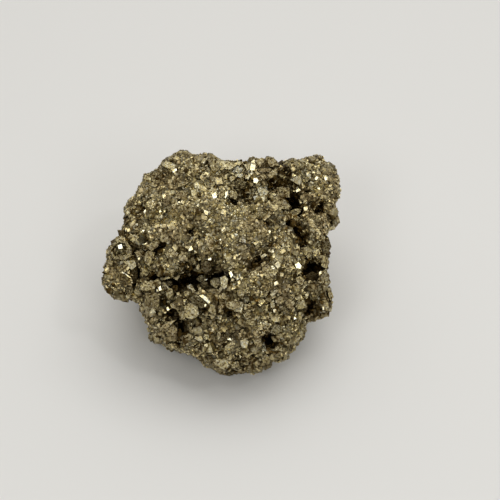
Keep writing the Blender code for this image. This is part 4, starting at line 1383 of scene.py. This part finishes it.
def pyrite_material(name):
    """One of the METALS. The large faces have fine growth lines, and the ground reads no crystal's
    own tone and gloss."""
    facet_scale, facet_tilt, bump_depth, spread, seams, spots, most, dim = METALS[name]
    striped, skin = name == FACES_METAL, name == GROUND
    found = bpy.data.materials.get(name)
    if found:
        return found
    finish = bpy.context.scene.pyrite_finish
    material = bpy.data.materials.new(name)
    material.use_nodes = True
    tree = material.node_tree
    shader = tree.nodes["Principled BSDF"]
    shader.inputs["Metallic"].default_value = 1.0
    place = object_place(tree)
    tarnish = tree.nodes.new("ShaderNodeGroup")
    tarnish.node_tree = tarnish_group()
    brass = tree.nodes.new("ShaderNodeGroup")
    brass.node_tree = brass_group()
    facets = tree.nodes.new("ShaderNodeGroup")
    facets.node_tree = facets_group()
    facets.inputs["Scale"].default_value = facet_scale
    facets.inputs["Tilt"].default_value = facet_tilt
    shade = range_of(tree, facets.outputs["Shade"], 0.0, 1.0, -spread, spread)
    if skin:
        connect(tree, maths(tree, "ADD", cloud(tree, place, 1100.0), shade), brass.inputs["Tone"])
        brass.inputs["Gloss"].default_value = 0.25
    else:
        connect(tree, maths(tree, "ADD", attribute(tree, "tone"), shade), brass.inputs["Tone"])
        gloss = attribute(tree, "gloss")
        connect(tree, gloss, brass.inputs["Gloss"])
        tilt = range_of(tree, gloss, 0.5, 0.9, facet_tilt, 0.1 * facet_tilt)
        connect(tree, tilt, facets.inputs["Tilt"])
    # Painted shade: dark along the facet seams and, on the crystals, darker towards each crystal's root;
    # the spots are grime.
    dark = maths(tree, "MULTIPLY", facets.outputs["Seam"], seams)
    grime = range_of(tree, cloud(tree, place, spots, 4.0), 0.48, 0.64, 0.0, most)
    dark = maths(tree, "ADD", dark, grime)
    if not skin:
        dark = maths(tree, "MULTIPLY", dark, range_of(tree, gloss, 0.5, 0.75, 1.0, 0.1))
        rooted = range_of(tree, attribute(tree, "depth"), 0.35, 1.1, 0.0, 0.6)
        dark = maths(tree, "ADD", dark, rooted)
    connect(tree, maths(tree, "ADD", attribute(tree, "hollow"), dark), brass.inputs["Hollow"])
    connect(tree, tarnish.outputs["Mask"], brass.inputs["Tarnish"])
    connect(tree, facets.outputs["Warmth"], brass.inputs["Warmth"])
    # The ground keeps less of each colour: painted shade under the crystals.
    for key, colour, share in (
        ("Brass", finish.brass, dim),
        ("Pale", finish.pale, 0.4 if skin else 1.0),
        ("Cool", finish.cool, 0.9),
        ("Gold", finish.gold, dim),
        ("Brown", finish.brown, dim),
        ("Grime and shade", finish.grime_and_shade, dim),
    ):
        brass.inputs[key].default_value = [part * share for part in colour[:3]] + [1]
    connect(tree, brass.outputs["Colour"], shader.inputs["Base Color"])
    connect(tree, brass.outputs["Roughness"], shader.inputs["Roughness"])
    height = cloud(tree, place, facet_scale * 0.6, 2.0)
    if not skin:
        height = maths(tree, "MULTIPLY", height, range_of(tree, gloss, 0.5, 0.9, 1.0, 0.1))
    if striped:
        lines = tree.nodes.new("ShaderNodeTexWave")
        along = tree.nodes.new("ShaderNodeUVMap")
        along.uv_map = "Growth"
        sockets = [lines.inputs[name] for name in ("Vector", "Scale", "Distortion", "Detail")]
        feed(tree, sockets, (along.outputs[0], 1.1, 1.5, 1.0))
        grooves = range_of(tree, gloss, 0.5, 0.9, 0.5, 0.05)
        height = maths(tree, "ADD", height, maths(tree, "MULTIPLY", lines.outputs["Fac"], grooves))
    bump = tree.nodes.new("ShaderNodeBump")
    bump.inputs["Distance"].default_value = bump_depth
    connect(tree, height, bump.inputs["Height"])
    connect(tree, facets.outputs["Normal"], bump.inputs["Normal"])
    connect(tree, bump.outputs[0], shader.inputs["Normal"])
    return material


# The skin


def worn_skin(settings):
    """The solid's skin, remeshed finely; wear_down then wears its coarse crystals down to lumps."""
    skin = link(bpy.data.objects.new("pyrite_mass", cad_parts[NODE].data.copy()))
    select_only(skin)
    bpy.ops.object.mode_set(mode="EDIT")
    bpy.ops.mesh.select_all(action="SELECT")
    bpy.ops.mesh.remove_doubles(threshold=1e-5)
    bpy.ops.object.mode_set(mode="OBJECT")
    skin.data.materials.clear()
    apply_modifier(skin, "Fine skin", "REMESH", mode="VOXEL", voxel_size=settings.skin_cell)
    return skin


def wear_down(mesh, rounds):
    """Rounds the skin off inwards only, so that what stands out goes and the hollows stay."""
    points, normals, edges = mesh_points(mesh), vertex_normals(mesh), mesh_edges(mesh)
    ends, starts = np.concatenate((edges, edges[:, ::-1])).T
    count = np.maximum(np.bincount(ends, minlength=len(points)), 1)[:, None]
    smooth = points.copy()
    for _ in range(rounds):
        beside = [np.bincount(ends, smooth[starts, axis], len(points)) for axis in range(3)]
        smooth = 0.4 * smooth + 0.6 * np.stack(beside, axis=1) / count
    sunk = np.minimum(((smooth - points) * normals).sum(axis=1, keepdims=True), 0) + SKIN_STAND * MM
    move_points(mesh, points + sunk * normals)


def raise_nodules(mesh, settings):
    """Gives the worn skin small round-topped lumps of two sizes."""
    points, normals = mesh_points(mesh), vertex_normals(mesh)
    moved = points.copy()
    for size, height in ((1.0, 1.0), (0.5, 0.45)):
        spacing = settings.nodule_spacing * size
        near = np.array([noise.voronoi(Vector(p) / spacing)[0][0] for p in points])
        moved += normals * ((0.3 - near) * settings.nodule_height * height)[:, None]
    move_points(mesh, moved)


def sink_creases(mesh, settings):
    """Parts the lumps by cracks of two sizes, deep in places and closed in others."""
    points, normals = mesh_points(mesh), vertex_normals(mesh)
    depth = settings.crease_depth * (0.3 + 0.7 * blockiness(points / MM))
    moved = points.copy()
    for size, seed in ((1.0, 7), (0.5, 8)):
        spacing = settings.crease_spacing * size
        apart = np.empty(len(points))
        for index, point in enumerate(points):
            near = noise.voronoi(Vector(point) / spacing)[0]
            apart[index] = near[1] - near[0]
        open_share = np.clip(0.55 + 1.3 * noise_at(points / MM, 6.0 * size, seed), 0, 1)
        crack = np.clip(1 - apart / 0.22, 0, 1) ** 1.3 * open_share
        moved -= normals * (crack * depth * size**0.6)[:, None]
    move_points(mesh, moved)


def make_room(mesh, seats):
    """Sinks the skin behind every face and into every gap, and raises it to every lump. Returns the
    shade painted on each point, which is dark in the gaps."""
    points = mesh_points(mesh) / MM
    dark = np.zeros(len(points))
    for seat in sorted(seats, key=lambda seat: seat.look != "lump"):
        seen = seen_places(points)
        gap = seat.look == "gap"
        if seat.look == "lump":
            share = seat.reach(seen[:, :2])
            level = seat.out - LUMP_RISE * share**3
            inside = (share < 1) & (seen[:, 2] < level) & (seen[:, 2] > seat.out - 5)
            points[inside] += ((level - seen[:, 2])[:, None] * OUT)[inside]
            continue
        level = seat.level(seen[:, :2]) - (0 if gap else FACE_ROOM)
        high = (seen[:, 2] > level) & (seen[:, 2] > seat.out - 7)
        inside = high & seat.covers(seen[:, :2], 0.1)
        points[inside] += ((level - seen[:, 2])[:, None] * OUT)[inside]
        if gap:
            dark[inside] = 0.75
    move_points(mesh, points * MM)
    return dark


def break_underside(mesh):
    """A rough break at the base, with its highest grains on the level that it rests on."""
    points = mesh_points(mesh)
    low = points[:, 2] < 0.0006
    rough = noise_at(points[low] / MM, 1.3, 5) + 0.5 * noise_at(points[low] / MM, 0.6, 6)
    points[low, 2] = np.maximum(points[low, 2], 0) * 0.4 + np.clip(rough, 0, 1) * 0.0005
    move_points(mesh, np.maximum(points, (-1, -1, 0)))


class PYRITE_OT_mass(Operator):
    """Wear the solid's skin down to the lumps that the crystals grow on"""

    bl_idname = "pyrite.mass"
    bl_label = "Mass"

    def execute(self, context):
        settings = context.scene.pyrite_crust
        skin = worn_skin(settings)
        wear_down(skin.data, settings.wear_rounds)
        raise_nodules(skin.data, settings)
        sink_creases(skin.data, settings)
        dark = make_room(skin.data, seats_of(tree_of(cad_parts[NODE].data)))
        break_underside(skin.data)
        mesh = skin.data
        places, chance = mesh_points(mesh) / MM, np.random.default_rng(SEED)
        # Painted shade: the skin is darkened where it is shut in and in the gaps.
        shut = hollowness(tree_of(mesh), places, vertex_normals(mesh), chance, 5)
        shut = np.maximum(shut, dark)
        mesh.attributes.new("hollow", "FLOAT", "POINT").data.foreach_set("value", shut)
        mesh.materials.append(pyrite_material(GROUND))
        bpy.ops.object.shade_smooth()
        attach(skin, "root")
        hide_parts(NODE)
        return {"FINISHED"}


class PYRITE_OT_large_crystals(Operator):
    """Grow the large crystals, each at its own place on the display face"""

    bl_idname = "pyrite.large_crystals"
    bl_label = "Large crystals"

    def execute(self, context):
        solid = tree_of(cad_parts[NODE].data)
        mass = tree_of(bpy.data.objects["pyrite_mass"].data)
        chance = np.random.default_rng(SEED + 1)
        growth = Growth()
        for seat in seats_of(solid):
            if seat.look not in LOOKS:
                continue
            ground = np.nan_to_num(face_height(mass, *seat.middle), nan=seat.out)
            if np.hypot(*seat.middle) > 20:  # near the outline none stands out far
                seat.out = min(seat.out, ground + 1.0 + 0.6 * seat.size)
            depth = float(np.clip(seat.out - ground + 0.8, 0.7 * seat.size, DEEPEST))
            habit = outlined_habit(seat, depth)
            centre = seen_place(*seat.middle, seat.out)
            # The look's tone and last value paint part of the face's light and shade.
            _, _, tone, gloss, painted_shade = LOOKS[seat.look]
            facts = np.array([[tone + chance.normal() * 0.06, gloss, painted_shade]])
            # A hopper's root is taken nearer, so that its stepped hollow is painted darker, as shade.
            share = 0.35 if seat.look == "hopper" else 0.7
            root = centre - OUT * max(share * seat.size, 0.5 * depth, 0.5)
            shape = AXES * (1 - seat.out / DISPLAY_DISTANCE)
            growth.add(habit, centre[None], shape[None], facts, root[None], OUT[None])
        faces = growth.as_object("large_crystals", pyrite_material(FACES_METAL))
        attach(faces, "root")
        return {"FINISHED"}


class PYRITE_OT_middling_crystals(Operator):
    """Scatter the middling crystals, close together where the specimen is blocky"""

    bl_idname = "pyrite.middling_crystals"
    bl_label = "Middling crystals"

    def execute(self, context):
        settings = context.scene.pyrite_crust
        mass = bpy.data.objects["pyrite_mass"].data
        chance = np.random.default_rng(SEED + 2)
        places, normals = skin_samples(mass, PLACES_TRIED["middling"], chance)
        # none under the break that it rests on
        standing = (places[:, 2] > 1.6) & (normals[:, 2] > -0.93)
        places, normals = kept_of(standing, places, normals)
        blocky = blockiness(places)
        spacing = settings.middling_spacing / MM * (1.0 + 2.2 * (1 - blocky) ** 1.5)
        spacing *= chance.uniform(0.8, 1.25, len(places))
        # clear of the large crystals
        seats = seats_of(tree_of(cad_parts[NODE].data))
        taken = [(seen_place(*seat.middle, seat.out), seat.size * 0.5 + 0.7) for seat in seats]
        kept = spread_out(places, spacing, taken)
        places, normals, blocky = kept_of(kept, places, normals, blocky)
        shut = hollowness(tree_of(mass), places, normals, chance)
        places, normals, blocky, shut = kept_of(shut < 0.55, places, normals, blocky, shut)
        # 1 to 2.6 mm, smaller in the fine stretches and at the outline, and none past the outline
        sizes = np.clip(chance.lognormal(0.42, 0.24, len(places)), 1.0, 2.6)
        sizes *= 0.75 + 0.35 * blocky
        sizes *= np.clip(0.62 + 0.9 * np.abs(normals @ OUT), 0, 1)
        held = ~beyond_outline(tree_of(mass), places, sizes * 0.45)
        places, normals, shut, sizes = kept_of(held, places, normals, shut, sizes)
        count = len(places)
        turns = random_turns(chance, count) * sizes[:, None, None]
        sunk = chance.uniform(0.0, 0.3, count)
        sunk += 0.25 * np.clip(1 - 2.5 * np.abs(normals @ OUT), 0, 1)  # more so at the outline
        centres = places - normals * (sizes * sunk)[:, None]
        tone = chance.beta(2.6, 2.2, count) + 0.4 * (cleanness_and_light(places) - 0.5)
        # The third fact paints shade where a crystal is shut in.
        facts = np.stack((tone, chance.beta(1.5, 2.0, count), shut), axis=1)
        kind = chance.choice(len(MIDDLING), size=count, p=MIDDLING_SHARES)
        growth = Growth()
        for index, make in enumerate(MIDDLING):
            growth.add(in_order(make()), *kept_of(kind == index, centres, turns, facts, places, normals))
        faces = growth.as_object("middling_crystals", pyrite_material(FACES_METAL), 0.3)
        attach(faces, "root")
        return {"FINISHED"}


class PYRITE_OT_fine_crust(Operator):
    """Cover the skin with the fine crust, finest on the display face"""

    bl_idname = "pyrite.fine_crust"
    bl_label = "Fine crust"

    def execute(self, context):
        settings = context.scene.pyrite_crust
        mass = bpy.data.objects["pyrite_mass"].data
        chance = np.random.default_rng(SEED + 3)
        places, normals = skin_samples(mass, PLACES_TRIED["fine"], chance)
        # none on the break that it rests on
        standing = (places[:, 2] > 0.7) & ((normals[:, 2] > -0.85) | (places[:, 2] > 2.5))
        places, normals = kept_of(standing, places, normals)
        # finest on the display side, and coarser in patches and in the blocky stretches
        out = display_places(places)[:, 2]
        share = np.clip((out + 6) / 10, 0, 1)
        spacing = settings.back_spacing + (settings.fine_spacing - settings.back_spacing) * share
        patchy = np.exp(0.45 * noise_at(places, 3.2, 11) + 0.2 * noise_at(places, 9.0, 12))
        spacing = spacing / MM * patchy * (1 + 1.1 * blockiness(places))
        spacing *= chance.uniform(0.8, 1.25, len(places))
        kept = spread_out(places, spacing)
        places, normals, spacing = kept_of(kept, places, normals, spacing)
        # none on the faces of the large crystals, dark ones in the gaps as painted shade, and dull ones
        # on the lumps
        seen, blocky = seen_places(places), blockiness(places)
        clear = np.ones(len(places), bool)
        dark, brown = np.zeros(len(places)), np.ones(len(places))
        for seat in seats_of(tree_of(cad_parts[NODE].data)):
            inside = (seen[:, 2] > seat.level(seen[:, :2]) - 1.2) & seat.covers(seen[:, :2], -0.2)
            if seat.look == "gap":
                dark[inside] = 0.45
            if seat.look == "lump":
                brown[inside] = 0.6
            elif seat.look != "gap" or seat.area < 6:
                clear &= ~inside
        places, normals, spacing = kept_of(clear, places, normals, spacing)
        dark, brown, blocky = kept_of(clear, dark, brown, blocky)
        # painted dark where it is shut in, as shade, and sparse there
        shut = hollowness(tree_of(mass), places, normals, chance)
        shut = np.maximum(shut * (0.6 + 0.4 * blocky), dark)
        kept = (shut < 0.7) | (chance.random(len(places)) < 0.4)
        places, normals, spacing, shut = kept_of(kept, places, normals, spacing, shut)
        brown, blocky, count = brown[kept], blocky[kept], kept.sum()
        sizes = spacing * (1.15 + 1.5 * chance.random(count) ** 2) * (1 - 0.3 * blocky)
        sizes[beyond_outline(tree_of(mass), places, sizes * 0.4)] *= 0.5
        # half of them turned much as the rest of their patch is
        turns = random_turns(chance, count)
        alike = chance.random(count) < 0.5
        near = small_turns(chance, count, PATCH_TURN)
        patch = patch_turns(places, chance)
        turns[alike] = (patch @ near)[alike]
        turns = turns * sizes[:, None, None]
        centres = places - normals * (sizes * chance.uniform(0.12, 0.42, count))[:, None]
        clean_and_lit = cleanness_and_light(places) - 0.5
        tone = chance.beta(2.4, 2.2, count) * brown + 0.5 * clean_and_lit
        facts = np.stack((tone, chance.beta(1.3, 2.4, count), shut - 0.25 * clean_and_lit), axis=1)
        # glints: pale as a painted highlight and glossy, some of them turned to mirror the light
        seen = display_places(places)
        glitter = np.full(count, GLINTS["about"])
        for across, up, radius in GLITTER:
            glitter[np.hypot(seen[:, 0] - across, seen[:, 1] - up) < radius] = GLINTS["glittering"]
        shining = chance.random(count) < glitter * brown**3
        facts[shining, :2] = (1.0, 0.95)
        aligned = shining & (chance.random(count) < GLINTS["mirroring"])
        facing = facing_turns(mirror_ways(centres[aligned]), chance)
        turns[aligned] = facing * sizes[aligned, None, None]
        habits = [make() for make in GRAINS]
        kind = chance.choice(len(habits), size=count, p=GRAIN_SHARES)
        quarter = (seen[:, 0] > 0).astype(int) + 2 * (seen[:, 1] > 2).astype(int)
        quarter[seen[:, 2] < 0] = 4
        names = ("lower_left", "lower_right", "upper_left", "upper_right", "back")
        material = pyrite_material(CRUST_METAL)
        for number, name in enumerate(names):
            growth = Growth()
            for index, habit in enumerate(habits):
                those = (kind == index) & (quarter == number)
                growth.add(habit, *kept_of(those, centres, turns, facts, places, normals))
            crust = growth.as_object("crust_" + name, material, 0.2)
            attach(crust, "root")
        return {"FINISHED"}


# The stage


def area_light(name, place, power, width, height=None, colour=(1, 1, 1)):
    """A soft light that looks at the specimen. Places are in metres."""
    lamp = bpy.data.lights.new(name, "AREA")
    lamp.energy = power
    lamp.color = colour
    lamp.shape = "RECTANGLE"
    lamp.size, lamp.size_y = width, height or width
    obj = link(bpy.data.objects.new(name, lamp))
    obj.location = place
    aim = Vector(MIDDLE * MM) - Vector(place)
    obj.rotation_euler = aim.to_track_quat("-Z", "Y").to_euler()
    return obj


def floor_material(colour):
    material = bpy.data.materials.new("Pale floor")
    material.use_nodes = True
    shader = material.node_tree.nodes["Principled BSDF"]
    shader.inputs["Base Color"].default_value = colour
    shader.inputs["Roughness"].default_value = 0.75
    shader.inputs["Specular IOR Level"].default_value = 0.2
    return material


def room_world(strength):
    """Dim light, stronger from above and behind, with a pale backdrop behind what is seen."""
    world = bpy.data.worlds.new("Studio room")
    bpy.context.scene.world = world
    world.use_nodes = True
    tree = world.node_tree
    around = tree.nodes["Background"]
    around.inputs["Color"].default_value = (1, 0.985, 0.95, 1)
    sides = tree.nodes.new("ShaderNodeSeparateXYZ")
    connect(tree, tree.nodes.new("ShaderNodeTexCoord").outputs["Generated"], sides.inputs[0])
    high = maths(tree, "MULTIPLY", sides.outputs["Z"], 0.85)
    back = maths(tree, "MULTIPLY", sides.outputs["Y"], 0.6)
    above = maths(tree, "MAXIMUM", maths(tree, "ADD", high, back), 0.0)
    level = maths(tree, "ADD", maths(tree, "MULTIPLY", above, strength), strength * 0.12)
    connect(tree, level, around.inputs["Strength"])
    seen = tree.nodes.new("ShaderNodeBackground")
    seen.inputs["Color"].default_value = (0.69, 0.68, 0.655, 1)
    blend = tree.nodes.new("ShaderNodeMixShader")
    connect(tree, tree.nodes.new("ShaderNodeLightPath").outputs["Is Camera Ray"], blend.inputs[0])
    connect(tree, around.outputs[0], blend.inputs[1])
    connect(tree, seen.outputs[0], blend.inputs[2])
    connect(tree, blend.outputs[0], tree.nodes["World Output"].inputs["Surface"])


class PYRITE_OT_stage(Operator):
    """Lay the floor, set the lights and place the camera"""

    bl_idname = "pyrite.stage"
    bl_label = "Stage"

    def execute(self, context):
        settings = context.scene.pyrite_stage
        bpy.ops.object.select_all(action="DESELECT")
        bpy.ops.mesh.primitive_circle_add(vertices=96, radius=1.6, fill_type="NGON")
        floor = bpy.context.object
        floor.name = "floor"
        floor.data.materials.append(floor_material(settings.floor_colour))
        area_light("key", (0.10, 0.20, 0.66), settings.key_power, 0.62, 0.55)
        area_light("fill", FILL_PLACE * MM, settings.fill_power * 0.55, 0.26)
        area_light("other fill", (0.26, -0.42, 0.52), settings.fill_power * 0.45, 0.26)
        area_light("spark", (0.3, -0.12, 0.6), settings.spark_power, 0.06)
        room_world(settings.room_light)
        context.scene.view_settings.view_transform = "Standard"
        camera = bpy.data.cameras.new("camera")
        camera.lens = 85
        camera.sensor_width = 36
        camera.shift_x = 0.058
        camera.shift_y = 0.026
        camera.clip_start = 0.01
        view = link(bpy.data.objects.new("camera", camera))
        view.location = (MIDDLE + OUT * DISPLAY_DISTANCE) * MM
        view.rotation_mode = "QUATERNION"
        view.rotation_quaternion = Vector(-OUT).to_track_quat("-Z", "Y")
        context.scene.camera = view
        return {"FINISHED"}


class PYRITE_PT_specimen(Panel):
    """Buttons and settings of the specimen, in the order they are used"""

    bl_idname = "PYRITE_PT_specimen"
    bl_label = "Pyrite specimen"
    bl_space_type = "VIEW_3D"
    bl_region_type = "UI"
    bl_category = "Pyrite"

    def draw(self, context):
        column = self.layout.column()
        for settings in (
            context.scene.pyrite_crust,
            context.scene.pyrite_finish,
            context.scene.pyrite_stage,
        ):
            for name in settings.__annotations__:
                column.prop(settings, name)
        for operator in OPERATORS:
            column.operator(operator.bl_idname)


OPERATORS = (
    PYRITE_OT_mass,
    PYRITE_OT_large_crystals,
    PYRITE_OT_middling_crystals,
    PYRITE_OT_fine_crust,
    PYRITE_OT_stage,
)
SETTINGS = {
    "pyrite_crust": PyriteCrustSettings,
    "pyrite_finish": PyriteFinishSettings,
    "pyrite_stage": PyriteStageSettings,
}
CLASSES = (*SETTINGS.values(), *OPERATORS, PYRITE_PT_specimen)


def register():
    """Registers the classes and gives the scene their settings."""
    for cls in CLASSES:
        bpy.utils.register_class(cls)
    for name, cls in SETTINGS.items():
        setattr(bpy.types.Scene, name, PointerProperty(type=cls))


def unregister():
    """Takes back what register did."""
    for name in SETTINGS:
        delattr(bpy.types.Scene, name)
    for cls in reversed(CLASSES):
        bpy.utils.unregister_class(cls)


def main():
    """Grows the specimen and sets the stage."""
    register()
    bpy.ops.pyrite.mass()
    bpy.ops.pyrite.large_crystals()
    bpy.ops.pyrite.middling_crystals()
    bpy.ops.pyrite.fine_crust()
    bpy.ops.pyrite.stage()


if __name__ == "__main__":
    main()
